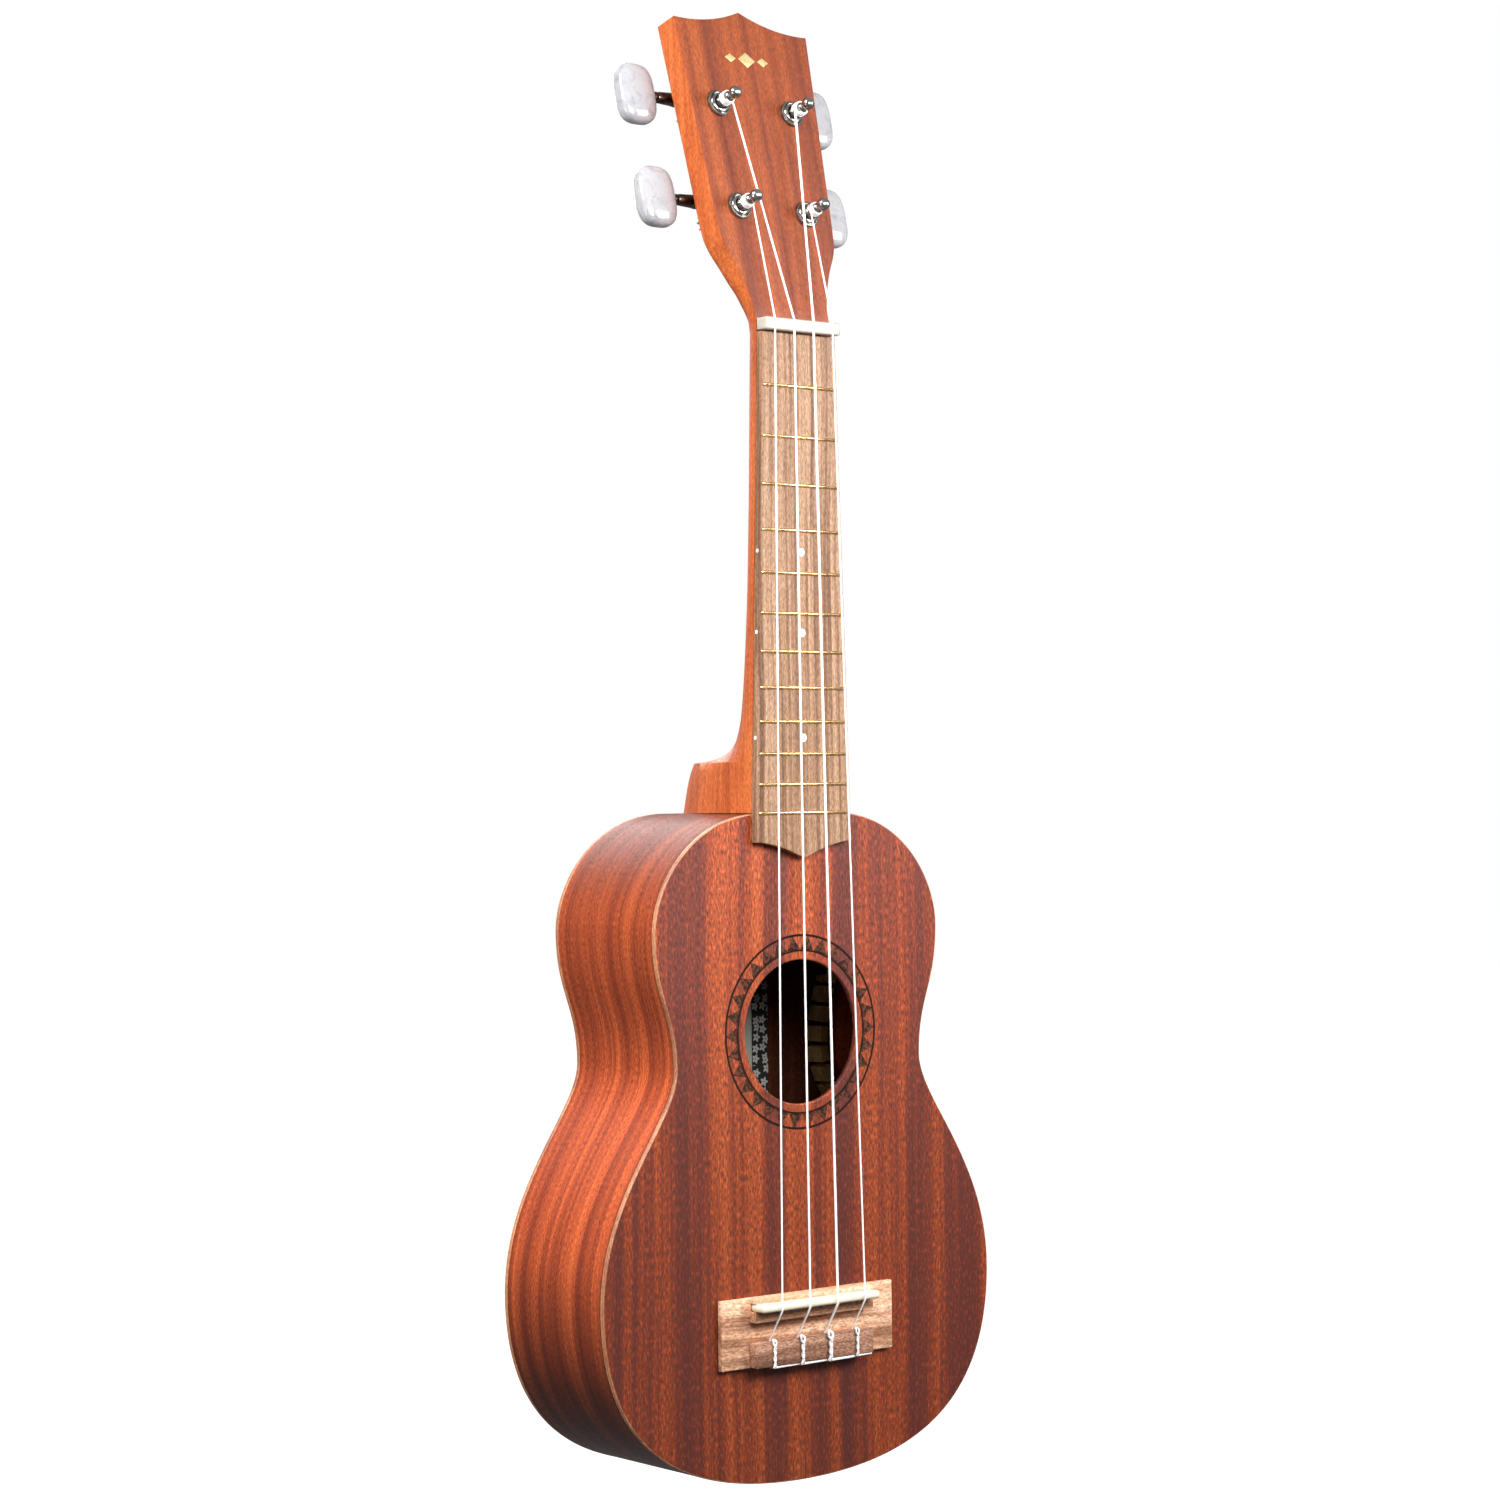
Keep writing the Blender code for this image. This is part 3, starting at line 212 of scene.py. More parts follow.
middle_of_body = Vector((0, 0.03, -0.25))
for name, place, width, power in (("front_lamp", (-0.12, -0.46, 0.06), 0.3, 3.1),
                                  ("right_lamp", (0.5, -0.62, 0.12), 0.35, 8),
                                  ("left_lamp", (-0.5, 0.05, -0.08), 0.25, 0.8),
                                  ("high_left_lamp", (-0.75, -0.05, 0.5), 0.35, 12),
                                  ("back_lamp", (0.3, 1.6, 0.8), 1.2, 22)):
    light = bpy.data.lights.new(name, "AREA")
    light.shape = "SQUARE"
    light.size = width
    light.energy = power
    lamp = placed(name, light)
    lamp.location = place
    lamp.rotation_mode = "QUATERNION"
    lamp.rotation_quaternion = (middle_of_body - Vector(place)).to_track_quat("-Z", "Y")
    lamp.visible_camera = False

eye = Vector((-0.77803, -0.93552, -0.16544))
turn, pitch, lean = math.radians(38.934), math.radians(0.719), math.radians(-0.664)
forward = Vector((math.sin(turn) * math.cos(pitch), math.cos(turn) * math.cos(pitch),
                  math.sin(pitch)))
level = Vector((math.cos(turn), -math.sin(turn), 0))
upright = level.cross(forward)
right = math.cos(lean) * level + math.sin(lean) * upright
up = math.cos(lean) * upright - math.sin(lean) * level
lens = bpy.data.cameras.new("camera")
lens.lens = 80.84
lens.sensor_width = 36
camera = placed("camera", lens)
camera.matrix_world = Matrix.Translation(eye) @ Matrix((right, up, -forward)).transposed().to_4x4()
bpy.context.scene.camera = camera


# ---- soundboard ----------------------------------------------------------------------------
# A thin plate of straight-grained ribbon mahogany with a round hole, under a satin varnish.
# Its upper edge is eased, and a paler tone on the edge faces shows there as a fine line: partly the
# plate's end grain, partly a painted highlight.
def new_finish(name, **constants):
    """A Principled material: its material, a flow to build on, and its shader node."""
    material = bpy.data.materials.new(name)
    material.use_nodes = True
    shader = material.node_tree.nodes["Principled BSDF"]
    for socket, value in constants.items():
        shader.inputs[socket.replace("_", " ")].default_value = value
    return material, Flow(material.node_tree), shader


def connect(shader, **flows):
    """Links flows to the shader's sockets."""
    for socket, flow in flows.items():
        flow.tree.links.new(flow.socket, shader.inputs[socket.replace("_", " ")])


def sawn_axes(flow, across="X", along="Z", layer="Y", spin=0.0):
    """Object coordinates as distance across, along and through the boards."""
    place = flow.place()
    if spin:
        place = flow.node("Mapping", Vector=place, Rotation=(spin, 0, 0))
    split = flow.node("SeparateXYZ", Vector=place)
    return [split.also(axis) for axis in (across, along, layer)]


def clouds_in(flow, across_scale, along_scale, layer_scale, detail=2.0):
    """Cloudy values with their own scale across, along and through a piece."""
    across, along, layer = sawn_axes(flow)
    return flow.noise(flow.vector(across * across_scale, along * along_scale, layer * layer_scale),
                      1.0, detail)


def bent_axes(flow):
    """Distance across, along and through a bent board, from its own map."""
    place = flow.node("UVMap", {"uv_map": "board"})
    split = flow.node("SeparateXYZ", Vector=place)
    return [split.also(axis) for axis in ("Y", "X", "Z")]


def timber(name, tones, axes=sawn_axes, ribbon=95.0, drift=2.2, pores=0.5, pore_size=1.0,
           streaks=0.35, gloss=0.42, polish=0.45, seed=0.0, painted_light=None, **axes_settings):
    """Varnished open-pored wood: broad ribbons, fine streaks, short dark pores and flecks."""
    material, flow, shader = new_finish(name, Specular_IOR_Level=polish)
    across, along, layer = axes(flow, **axes_settings)
    wander = flow.noise(flow.vector(across * 9, along * 5 + seed, layer * 9), 1.0, 2.0)
    shifted = across + (wander - 0.5) * 0.010
    broad = flow.noise(flow.vector(shifted * ribbon + seed, along * drift, layer * ribbon), 1.0,
                       1.6, 0.55)
    narrow = flow.noise(flow.vector(shifted * ribbon * 5, along * drift * 3 + seed,
                                    layer * ribbon * 5), 1.0, 3.0, 0.6)
    tone = (broad * (1 - streaks) + narrow * streaks).between(0.34, 0.66)
    base = tone.ramp(tones)
    # An optional ramp along the wood multiplies its colour: painted light and shade.
    if painted_light:
        start, length, stops = painted_light
        base = flow.mix(1.0, base, ((along - start) * (1 / length)).ramp(stops), "MULTIPLY")
    # Fibres: hair lines many times longer than wide, and grain that sparkles in the light.
    hairs = flow.noise(flow.vector(across * (2600 / pore_size), along * (130 / pore_size),
                                   layer * 2600), 1.0, 2.0)
    flecks = flow.noise(flow.vector(across * (1900 / pore_size), along * (640 / pore_size),
                                    layer * 1900), 1.0, 1.0)
    dark_pores = 1 - flecks.between(0.32, 0.47)
    bright = flecks.between(0.52, 0.70)
    shade = flow.mix(dark_pores * pores, base, (0.05, 0.016, 0.010, 1))
    shade = flow.mix(hairs.between(0.42, 0.75) * 0.25, shade, (1.0, 0.80, 0.62, 1), "MULTIPLY")
    shade = flow.mix(bright * pores * 0.9, shade,
                     flow.mix(1.0, base, (2.2, 2.3, 2.2, 1), "MULTIPLY"))
    rough = gloss + (hairs - 0.5) * 0.12 + dark_pores * 0.15
    relief = flow.node("Bump", Strength=0.22, Distance=0.00012, Height=hairs * 0.6 + flecks * 0.6)
    connect(shader, Base_Color=shade, Roughness=rough, Normal=relief)
    return material


def body_bows(inset=0.0, fineness=4):
    """The right half of the body's outline from tail to shoulder, as four bows moved inwards."""
    low_corner, high_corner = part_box("soundboard")
    tail, shoulder = low_corner.z, high_corner.z
    low, mid, high, flat = high_corner.x, 57 * mm, 66 * mm, 16.5 * mm
    lower, waist, upper = tail + 69 * mm, shoulder - 90 * mm, shoulder - 42 * mm
    bows = (((0, tail), (0.69 * low, tail), (low, lower - 0.65 * 69 * mm), (low, lower), 14),
            ((low, lower), (low, lower + 0.49 * (waist - lower)),
             (mid, waist - 0.21 * (waist - lower)), (mid, waist), 10),
            ((mid, waist), (mid, waist + 0.44 * (upper - waist)),
             (high, upper - 0.48 * (upper - waist)), (high, upper), 8),
            ((high, upper), (high, upper + 0.38 * 42 * mm), (flat + 0.69 * (high - flat), shoulder),
             (flat, shoulder), 10))
    points = []
    for start, handle, other, end, steps in bows:
        points += [Vector(p[:2])
                   for p in interpolate_bezier(start, handle, other, end, steps * fineness)[:-1]]
    points += [Vector((flat, shoulder)), Vector((0, shoulder))]
    moved = []
    for index, point in enumerate(points):
        along = points[min(index + 1, len(points) - 1)] - points[max(index - 1, 0)]
        side = Vector((-along.y, along.x)).normalized()
        moved.append(point + side * inset)
    moved[0].x = 0
    moved[-1].x = 0
    return [tuple(p) for p in moved]


def whole_outline(half):
    """Closes a half outline with its mirror image."""
    return half + [(-x, z) for x, z in reversed(half) if abs(x) > 1e-7]


def ring_of_points(radius, centre=(0, 0), steps=96):
    """Points round a circle."""
    turns = [2 * math.pi * step / steps for step in range(steps)]
    return [(centre[0] + radius * math.cos(t), centre[1] + radius * math.sin(t)) for t in turns]


def tidied(mesh, weld=0.0):
    """Welds a mesh's near points, and turns its faces outwards."""
    work = bmesh.new()
    work.from_mesh(mesh)
    if weld:
        bmesh.ops.remove_doubles(work, verts=work.verts, dist=weld)
    bmesh.ops.recalc_face_normals(work, faces=work.faces)
    work.to_mesh(mesh)
    work.free()
    return mesh


def plain_mesh(obj):
    """What an object shows, as a welded mesh. The object is removed."""
    graph = bpy.context.evaluated_depsgraph_get()
    graph.update()
    mesh = tidied(bpy.data.meshes.new_from_object(obj.evaluated_get(graph)), 1e-6)
    bpy.data.objects.remove(obj, do_unlink=True)
    return mesh


def add_path(curve, points, kind="POLY"):
    """A new spline through points."""
    spline = curve.splines.new(kind)
    spline.points.add(len(points) - 1)
    for point, place in zip(spline.points, points):
        point.co = (*place, 1)
    return spline


# Board plane to instrument: drawn x stays x, drawn y is height, thickness runs backwards.
upright_board = Matrix(((1, 0, 0, 0), (0, 0, 1, 0), (0, 1, 0, 0), (0, 0, 0, 1)))


def board_mesh(loops, front, back, easing, place=upright_board):
    """A flat board with eased edges: the first loop is its outline, the others are holes."""
    curve = bpy.data.curves.new("board", "CURVE")
    curve.dimensions = "2D"
    curve.fill_mode = "BOTH"
    curve.extrude = (back - front) / 2 - easing
    curve.bevel_depth = easing
    curve.bevel_resolution = 1
    curve.offset = -easing
    for loop in loops:
        add_path(curve, [(*point, 0) for point in loop]).use_cyclic_u = True
    mesh = plain_mesh(placed("board", curve))
    mesh.transform(place @ Matrix.Translation((0, 0, (front + back) / 2)))
    return tidied(mesh)


def show(name, mesh, material, body="instrument", slot=None, stands_for=(), sharp=35):
    """Puts a finished mesh in the scene, with its finish and the CAD nodes it stands for."""
    obj = placed(name, mesh)
    mesh.name = name
    finishes = [face.material_index for face in mesh.polygons]
    mesh.materials.clear()
    for one in material if isinstance(material, list) else [material]:
        mesh.materials.append(one)
    if isinstance(material, list):
        mesh.polygons.foreach_set("material_index", finishes)
    mesh.shade_smooth()
    mesh.set_sharp_from_angle(angle=math.radians(sharp))
    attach(obj, body)
    if stands_for:
        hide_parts(*stands_for)
    return obj


facing_forward = 0.985


def paint_edges(mesh):
    """Gives the faces that don't look straight forward or back the board's edge finish, paler end
    grain with a painted highlight.
    """
    for face in mesh.polygons:
        face.material_index = 1 if abs(face.normal.y) < facing_forward else 0


ribbon_tones = ((0.0, (0.106, 0.022, 0.015)), (0.30, (0.135, 0.026, 0.015)),
                (0.52, (0.180, 0.032, 0.014)), (0.76, (0.261, 0.046, 0.014)),
                (1.0, (0.328, 0.064, 0.018)))
# Painted light and shade: the top darkens towards the broad lower bout and brightens towards the
# shoulders, as the light falls from above.
top_painted_light_ramp = (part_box("soundboard")[0].z, 0.24,
              ((0.0, (0.76,) * 3), (0.3, (0.80,) * 3), (0.55, (0.96,) * 3), (0.8, (1.14,) * 3),
               (1.0, (1.20,) * 3)))
top_wood = timber("top_mahogany_satin", ribbon_tones, ribbon=82, drift=1.6, pores=0.68,
                  pore_size=1.35, polish=0.26, seed=3.1, painted_light=top_painted_light_ramp)
plate_edge_and_highlight = timber("plate_edge_wood", ((0.0, (0.30, 0.11, 0.055)), (1.0, (0.52, 0.23, 0.11))),
                    ribbon=160, pores=0.3, seed=8.0)
board_low, board_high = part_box("soundboard")
hole_below_shoulder, hole_radius = 79 * mm, 26 * mm
hole_centre = (0, board_high.z - hole_below_shoulder)
easing = 0.45 * mm
soundboard_mesh = board_mesh([whole_outline(body_bows()), ring_of_points(hole_radius, hole_centre)],
                             board_low.y, board_high.y, easing)
paint_edges(soundboard_mesh)
for face in soundboard_mesh.polygons:
    if math.hypot(face.center.x, face.center.z - hole_centre[1]) < hole_radius + easing:
        face.material_index = 0
show("sound_board", soundboard_mesh, [top_wood, plate_edge_and_highlight], slot="top_mahogany",
     stands_for=["soundboard"], sharp=15)

# ---- rosette -------------------------------------------------------------------------------
# A band burnt into the soundboard round the hole: two thin rings, with thirty dark
# triangles that stand on the inner ring and point outwards.
band_inner, band_outer = 29.3 * mm, 34.8 * mm
band_proud, band_thickness = 0.03 * mm, 0.02 * mm
burnt, flow, shader = new_finish("burnt_band", Roughness=0.7, Specular_IOR_Level=0.1)
across, along, layer = sawn_axes(flow)
rise = along - hole_centre[1]
reach = (across * across + rise * rise).maths("SQRT")
beyond_inner = reach.between(band_inner + 0.5 * mm, band_inner + 0.8 * mm)
between_rings = beyond_inner * (1 - reach.between(band_outer - 0.9 * mm, band_outer - 0.6 * mm))
soot = flow.noise(flow.vector(across * 700, along * 700, 0), 1.0, 2.0).between(0.40, 0.60)
hatched = flow.mix(soot, (0.030, 0.012, 0.008, 1), (0.115, 0.040, 0.022, 1))
connect(shader, Base_Color=flow.mix(between_rings, (0.016, 0.006, 0.004, 1), hatched))


class Rule(Flow):
    """A Geometry Nodes tree with named inputs, for pieces that repeat or follow a path."""

    def __init__(self, name, **inputs):
        tree = bpy.data.node_groups.new(name, "GeometryNodeTree")
        tree.is_modifier = True
        super().__init__(tree)
        tree.interface.new_socket(name="Geometry", in_out="OUTPUT",
                                  socket_type="NodeSocketGeometry")
        kinds = {int: "NodeSocketInt", float: "NodeSocketFloat"}
        self.values = inputs
        self.keys = {}
        for label, value in inputs.items():
            kind = kinds.get(type(value), "NodeSocketObject")
            made = tree.interface.new_socket(name=label, in_out="INPUT", socket_type=kind)
            self.keys[label] = made.identifier
        self.source = tree.nodes.new("NodeGroupInput")

    def size(self, label):
        """One of the tree's named inputs."""
        return Flow(self.tree, self.source.outputs[label])

    def path(self, label):
        """What an object given as a named input looks like."""
        return self.node("ObjectInfo", Object=self.size(label), output="Geometry")

    def together(self, *shapes):
        """Several shapes as one."""
        join = self.node("JoinGeometry")
        for shape in shapes:
            self.tree.links.new(shape.socket, join.socket.node.inputs[0])
        return join

    def carry_out(self, shape, material):
        """Ends the tree in real geometry with a finish, runs it, and gives back a plain mesh."""
        whole = shape.node("RealizeInstances", Geometry=shape)
        whole = whole.node("SetMaterial", Geometry=whole, Material=material)
        end = self.tree.nodes.new("NodeGroupOutput")
        self.tree.links.new(whole.socket, end.inputs[0])
        host = placed(self.tree.name, bpy.data.meshes.new(self.tree.name))
        modifier = host.modifiers.new("rule", "NODES")
        modifier.node_group = self.tree
        for label, value in self.values.items():
            modifier[self.keys[label]] = value
        return plain_mesh(host)


rule = Rule("burnt_triangles", Count=30, Inner=band_inner, Outer=band_outer,
            Thickness=band_thickness)
step = 2 * math.pi / rule.size("Count")
index = rule.node("InputIndex")
which_tooth = (index / 3).maths("FLOOR")
corner = index - which_tooth * 3
apex = corner.maths("COMPARE", 1.0, 0.1)
reach = rule.size("Inner") + 0.5 * mm + (rule.size("Outer") - rule.size("Inner") - 0.7 * mm) * apex
angle = (which_tooth + (corner - 1) * 0.49) * step
triangle = rule.node("MeshCircle", {"fill_type": "NGON"}, {"Vertices": 3, "Radius": 1.0})
spots = rule.node("MeshLine", Count=rule.size("Count"), Offset=(1, 0, 0))
tiles = rule.node("InstanceOnPoints", Points=spots, Instance=triangle)
tiles = rule.node("RealizeInstances", Geometry=tiles)
spread = rule.vector(angle.maths("COSINE") * reach, 0.0, angle.maths("SINE") * reach)
tiles = rule.node("SetPosition", Geometry=tiles, Position=spread)
raised = rule.node("ExtrudeMesh", {"mode": "FACES"},
                   {"Mesh": tiles, "Offset Scale": rule.size("Thickness")})
tiles = rule.node("FlipFaces", Mesh=tiles)
rings = []
for edge, width in ((rule.size("Inner"), 0.7 * mm), (rule.size("Outer"), 0.85 * mm)):
    line = rule.node("CurvePrimitiveCircle", Resolution=120, Radius=edge)
    bar = rule.node("CurvePrimitiveQuadrilateral", Width=width, Height=band_thickness)
    ring = rule.node("CurveToMesh", Curve=line, Profile_Curve=bar)
    rings.append(rule.node("Transform", Geometry=ring, Rotation=(math.pi / 2, 0, 0)))
rosette_mesh = rule.carry_out(rule.together(tiles, raised, *rings), burnt)
rosette_mesh.transform(Matrix.Translation((0, board_low.y - band_proud, hole_centre[1])))
show("rosette_band", rosette_mesh, burnt, slot="top_mahogany")

# ---- back, ribs, blocks and braces ---------------------------------------------------------
# The flat back and the two sides are the same red-brown wood. The sides are bent with heat,
# so their grain follows the bend, and they meet in a seam at the tail.
side_tones = ((0.0, (0.189, 0.030, 0.013)), (0.4, (0.290, 0.050, 0.017)),
              (0.7, (0.420, 0.077, 0.024)), (1.0, (0.566, 0.113, 0.034)))
# Painted light and shade: the sides are darker round the tail and the shoulders, and brighter at
# the lower bout and waist, where the light from the upper left falls.
side_painted_light_ramp = (0.0, 0.36, ((0.0, (0.30,) * 3), (0.27, (0.28,) * 3), (0.40, (1.0,) * 3),
                           (0.56, (1.15, 1.12, 1.12)), (0.64, (0.85,) * 3), (0.76, (0.80,) * 3),
                           (0.84, (0.44,) * 3), (1.0, (0.42,) * 3)))
side_wood = timber("side_mahogany_satin", side_tones, axes=bent_axes, ribbon=120, drift=2.5,
                   painted_light=side_painted_light_ramp, pores=0.42, gloss=0.42, polish=0.15, seed=5.0)
back_wood = timber("back_mahogany_satin", side_tones, ribbon=90, drift=2.0, pores=0.4, gloss=0.38,
                   seed=12.0)
raw_wood = timber("bare_pale_strips", ((0.0, (0.55, 0.37, 0.13)), (1.0, (0.78, 0.57, 0.25))),
                  ribbon=300, pores=0.12, gloss=0.7, seed=2.0)

# Inside the body the wood is bare and unpolished, and its very dark brown is painted shade for the
# dim inside of the body.
inside_painted_shade_wood = timber("bare_inside_mahogany",
                     ((0.0, (0.060, 0.016, 0.008)), (1.0, (0.125, 0.036, 0.016))), ribbon=90,
                     drift=2.0, gloss=0.7, polish=0.05, seed=14.0)

back_low, back_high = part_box("back")
back_mesh = board_mesh([whole_outline(body_bows())], back_low.y, back_high.y, easing)
paint_edges(back_mesh)
# The back's inner face takes the dark inside finish: painted shade.
for face in back_mesh.polygons:
    if face.normal.y < -facing_forward:
        face.material_index = 2
show("back_board", back_mesh, [back_wood, plate_edge_and_highlight, inside_painted_shade_wood], slot="back_mahogany",
     stands_for=["back"], sharp=15)


def bent_board(points, side, front, back, thickness):
    """A board bent along an outline, mapped by distance along it and across it."""
    work = bmesh.new()
    board = work.loops.layers.uv.new("board")
    inner = []
    for index, point in enumerate(points):
        along = Vector(points[min(index + 1, len(points) - 1)]) - Vector(points[max(index - 1, 0)])
        inner.append(Vector(point) + Vector((-along.y, along.x)).normalized() * thickness)
    lengths = [0.0]
    for first, second in zip(points, points[1:]):
        lengths.append(lengths[-1] + (Vector(second) - Vector(first)).length)
    rings = []
    for (x, z), within, length in zip(points, inner, lengths):
        corners = ((x, front), (x, back), (within.x, back), (within.x, front))
        heights = (z, z, within.y, within.y)
        rings.append([(work.verts.new((side * cx, cy, h)), length, cy)
                      for (cx, cy), h in zip(corners, heights)])

    def face(*corners):
        made = work.faces.new([corner[0] for corner in corners])
        for loop, corner in zip(made.loops, corners):
            loop[board].uv = (corner[1], corner[2] + side)

    for ring, following in zip(rings, rings[1:]):
        for index in range(4):
            after = (index + 1) % 4
            face(ring[index], ring[after], following[after], following[index])
    face(*reversed(rings[0]))
    face(*rings[-1])
    return mesh_of(work, "bent_board")


seam = 0.05 * mm
rib_thickness = 1.8 * mm
rib_line = body_bows(0.06 * mm)
rib_line[0] = (seam, rib_line[0][1])
rib_line[-1] = (seam, rib_line[-1][1])
for side, hand in ((-1, "left"), (1, "right")):
    rib_mesh = bent_board(rib_line, side, board_high.y, back_low.y, rib_thickness)
    show("side_" + hand, rib_mesh, side_wood, slot="side_mahogany", stands_for=["rib_" + hand],
         sharp=50)

# The blocks and braces take the dark inside finish too: painted shade.
for node in ("neck_block", "tail_block", "top_brace_upper", "top_brace_lower", "back_brace_upper",
             "back_brace_lower"):
    frame["nodes"][node].data.materials.clear()
    frame["nodes"][node].data.materials.append(inside_painted_shade_wood)

# ---- linings and label ---------------------------------------------------------------------
# Strips that widen the glue joint are sawn almost through every few millimetres, so that they
# bend round the sides. A paper label is glued to the back under the hole.
lining_width, lining_height, kerf_pitch = 4.5 * mm, 8 * mm, 7.6 * mm
lining_from_top = board_high.y + lining_height / 2 + 0.1 * mm
lining_from_back = back_low.y - lining_height / 2 - 0.1 * mm
kerf, web = 1.8 * mm, 0.9 * mm


def lining_curve(side, depth, inset):
    """A path inside the ribs that stops at the blocks, at one depth in the body."""
    line = [p for p in body_bows(rib_thickness + inset, 1)
            if p[0] > (24 * mm if p[1] < hole_centre[1] else 26 * mm)]
    curve = bpy.data.curves.new("lining_path", "CURVE")
    curve.dimensions = "3D"
    add_path(curve, [(side * x, depth, z) for x, z in line])
    return placed("lining_path", curve)


block_meshes, web_meshes = [], []
for side in (-1, 1):
    for depth in (lining_from_top, lining_from_back):
        middle = lining_curve(side, depth, lining_width / 2 + 0.3 * mm)
        outer = lining_curve(side, depth, web / 2 + 0.3 * mm)
        rule = Rule("sawn_blocks", Path=middle, Pitch=kerf_pitch, Width=lining_width,
                    Height=lining_height, Kerf=kerf)
        line = rule.path("Path")
        points = rule.node("CurveToPoints", {"mode": "LENGTH"},
                           {"Curve": line, "Length": rule.size("Pitch")}, output="Points")
        turned = points.also("Rotation")
        size = rule.vector(rule.size("Height"), rule.size("Width"),
                           rule.size("Pitch") - rule.size("Kerf"))
        block = rule.node("MeshCube", Size=size)
        blocks = rule.node("InstanceOnPoints", Points=points, Instance=block, Rotation=turned)
        block_meshes.append(rule.carry_out(blocks, raw_wood))
        rule = Rule("strip_web", Path=outer, Height=lining_height, Web=web)
        line = rule.path("Path")
        bar = rule.node("CurvePrimitiveQuadrilateral", Width=rule.size("Height"),
                        Height=rule.size("Web"))
        strip = rule.node("CurveToMesh", Curve=line, Profile_Curve=bar, Fill_Caps=True)
        web_meshes.append(rule.carry_out(strip, inside_painted_shade_wood))
        for path in (middle, outer):
            bpy.data.objects.remove(path, do_unlink=True)


def joined(meshes):
    """Several meshes as one."""
    work = bmesh.new()
    for mesh in meshes:
        work.from_mesh(mesh)
    return mesh_of(work, "joined", outward=False)


show("sawn_linings", joined(block_meshes), raw_wood, slot="lining_wood",
     stands_for=["top_lining_left", "top_lining_right", "back_lining_left", "back_lining_right"])
# The webs take the dark inside finish: painted shade in the narrow saw cuts.
show("lining_webs", joined(web_meshes), inside_painted_shade_wood, slot="lining_wood")

paper, flow, shader = new_finish("printed_paper", Roughness=0.8, Specular_IOR_Level=0.2)
across, along, layer = sawn_axes(flow)
# A border of small pale blossoms on black runs down each side of the plain middle.
spot = flow.vector(across * 250, along * 250, 0)
nearest = flow.node("TexVoronoi", Vector=spot, Scale=1.0, Randomness=0.55, output="Position")
away = flow.node("VectorMath", {"operation": "SUBTRACT"}, {0: spot, 1: nearest})
split = flow.node("SeparateXYZ", Vector=away, output="X")
rise = split.also("Y")
reach = (split * split + rise * rise).maths("SQRT")
petals = (rise.maths("ARCTAN2", split) * 5).maths("COSINE") * 0.11 + 0.36
blossom = (petals - reach).between(-0.04, 0.04) * reach.between(0.05, 0.09)
border = across.maths("ABSOLUTE").between(23 * mm, 23.2 * mm)
printed = flow.mix(blossom, (0.035, 0.035, 0.032, 1), (0.66, 0.65, 0.61, 1))
connect(shader, Base_Color=flow.mix(border, (0.60, 0.62, 0.54, 1), printed))
label_half, label_top, label_foot = 31 * mm, hole_centre[1] + 15 * mm, hole_centre[1] - 40 * mm
label_corners = [(-label_half, label_foot), (label_half, label_foot), (label_half, label_top),
                 (-label_half, label_top)]
show("paper_label", board_mesh([label_corners], back_low.y - 0.35 * mm, back_low.y - 0.05 * mm,
                               0.05 * mm), paper, slot="lining_wood")

# ---- neck, headstock and heel --------------------------------------------------------------
# One length of paler mahogany, with the headstock tilted back and scooped into the neck
# behind the nut. A block stacked on its back makes the heel, with a fine glue line between.
joints = {joint["name"]: joint for joint in frame["joints"]}
post_axis = joints["left_lower_post_turn"]["axis"]
tilt = math.atan2(post_axis[2], -post_axis[1])
shoulder_height = board_high.z
nut_low, nut_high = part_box("nut")
bend_height = nut_high.z + 0.3 * mm
head_frame = Matrix.Translation((0, 0.3 * mm, bend_height)) @ Matrix.Rotation(-tilt, 4, "X")
neck_depth, heel_depth = 13.3 * mm, 54 * mm
half_at_nut, half_at_body = 17 * mm, 21.8 * mm


def neck_half(height):
    """Half the neck's width, which grows evenly from the nut to the body."""
    return half_at_nut + (half_at_body - half_at_nut) * height / shoulder_height


def eased_table(rows, steps):
    """More rows between the given ones, on curves that never overshoot."""
    rows = np.array(rows, float)
    places, values = rows[:, 0], rows[:, 1:]
    slopes = np.diff(values, axis=0) / np.diff(places)[:, None]
    ends = np.zeros_like(values)
    for row in range(1, len(rows) - 1):
        before, after = slopes[row - 1], slopes[row]
        same = before * after > 0
        ends[row][same] = 2 * before[same] * after[same] / (before[same] + after[same])
    ends[0], ends[-1] = slopes[0], slopes[-1]
    fine = []
    for row in range(len(rows) - 1):
        width = places[row + 1] - places[row]
        for step in range(steps):
            t = step / steps
            value = ((2 * t**3 - 3 * t**2 + 1) * values[row] + (t**3 - 2 * t**2 + t) * width
                     * ends[row] + (3 * t**2 - 2 * t**3) * values[row + 1]
                     + (t**3 - t**2) * width * ends[row + 1])
            fine.append([places[row] + width * t, *value])
    fine.append(list(rows[-1]))
    return fine


boxy_from = 2.5


def flat_faced_section(half_width, depth, squareness, place, steps=40):
    """A section with a flat face: round behind at squareness 2, and close to a box at 16."""
    points = []
    for step in range(steps + 1):
        angle = math.pi * step / steps
        # Points gather where a boxy section turns its corners.
        if squareness > boxy_from:
            turned = 2 * angle / math.pi - 1
            gathered = 0.5 * turned + 0.5 * math.copysign(abs(turned) ** 0.5, turned)
            angle = math.pi / 2 + math.pi / 2 * gathered
        x = math.copysign(half_width * abs(math.cos(angle)) ** (2 / squareness), math.cos(angle))
        y = depth * math.sin(angle) ** (2 / squareness) if 0 < step < steps else 0.0
        points.append(place @ Vector((x, y, 0)))
    return points


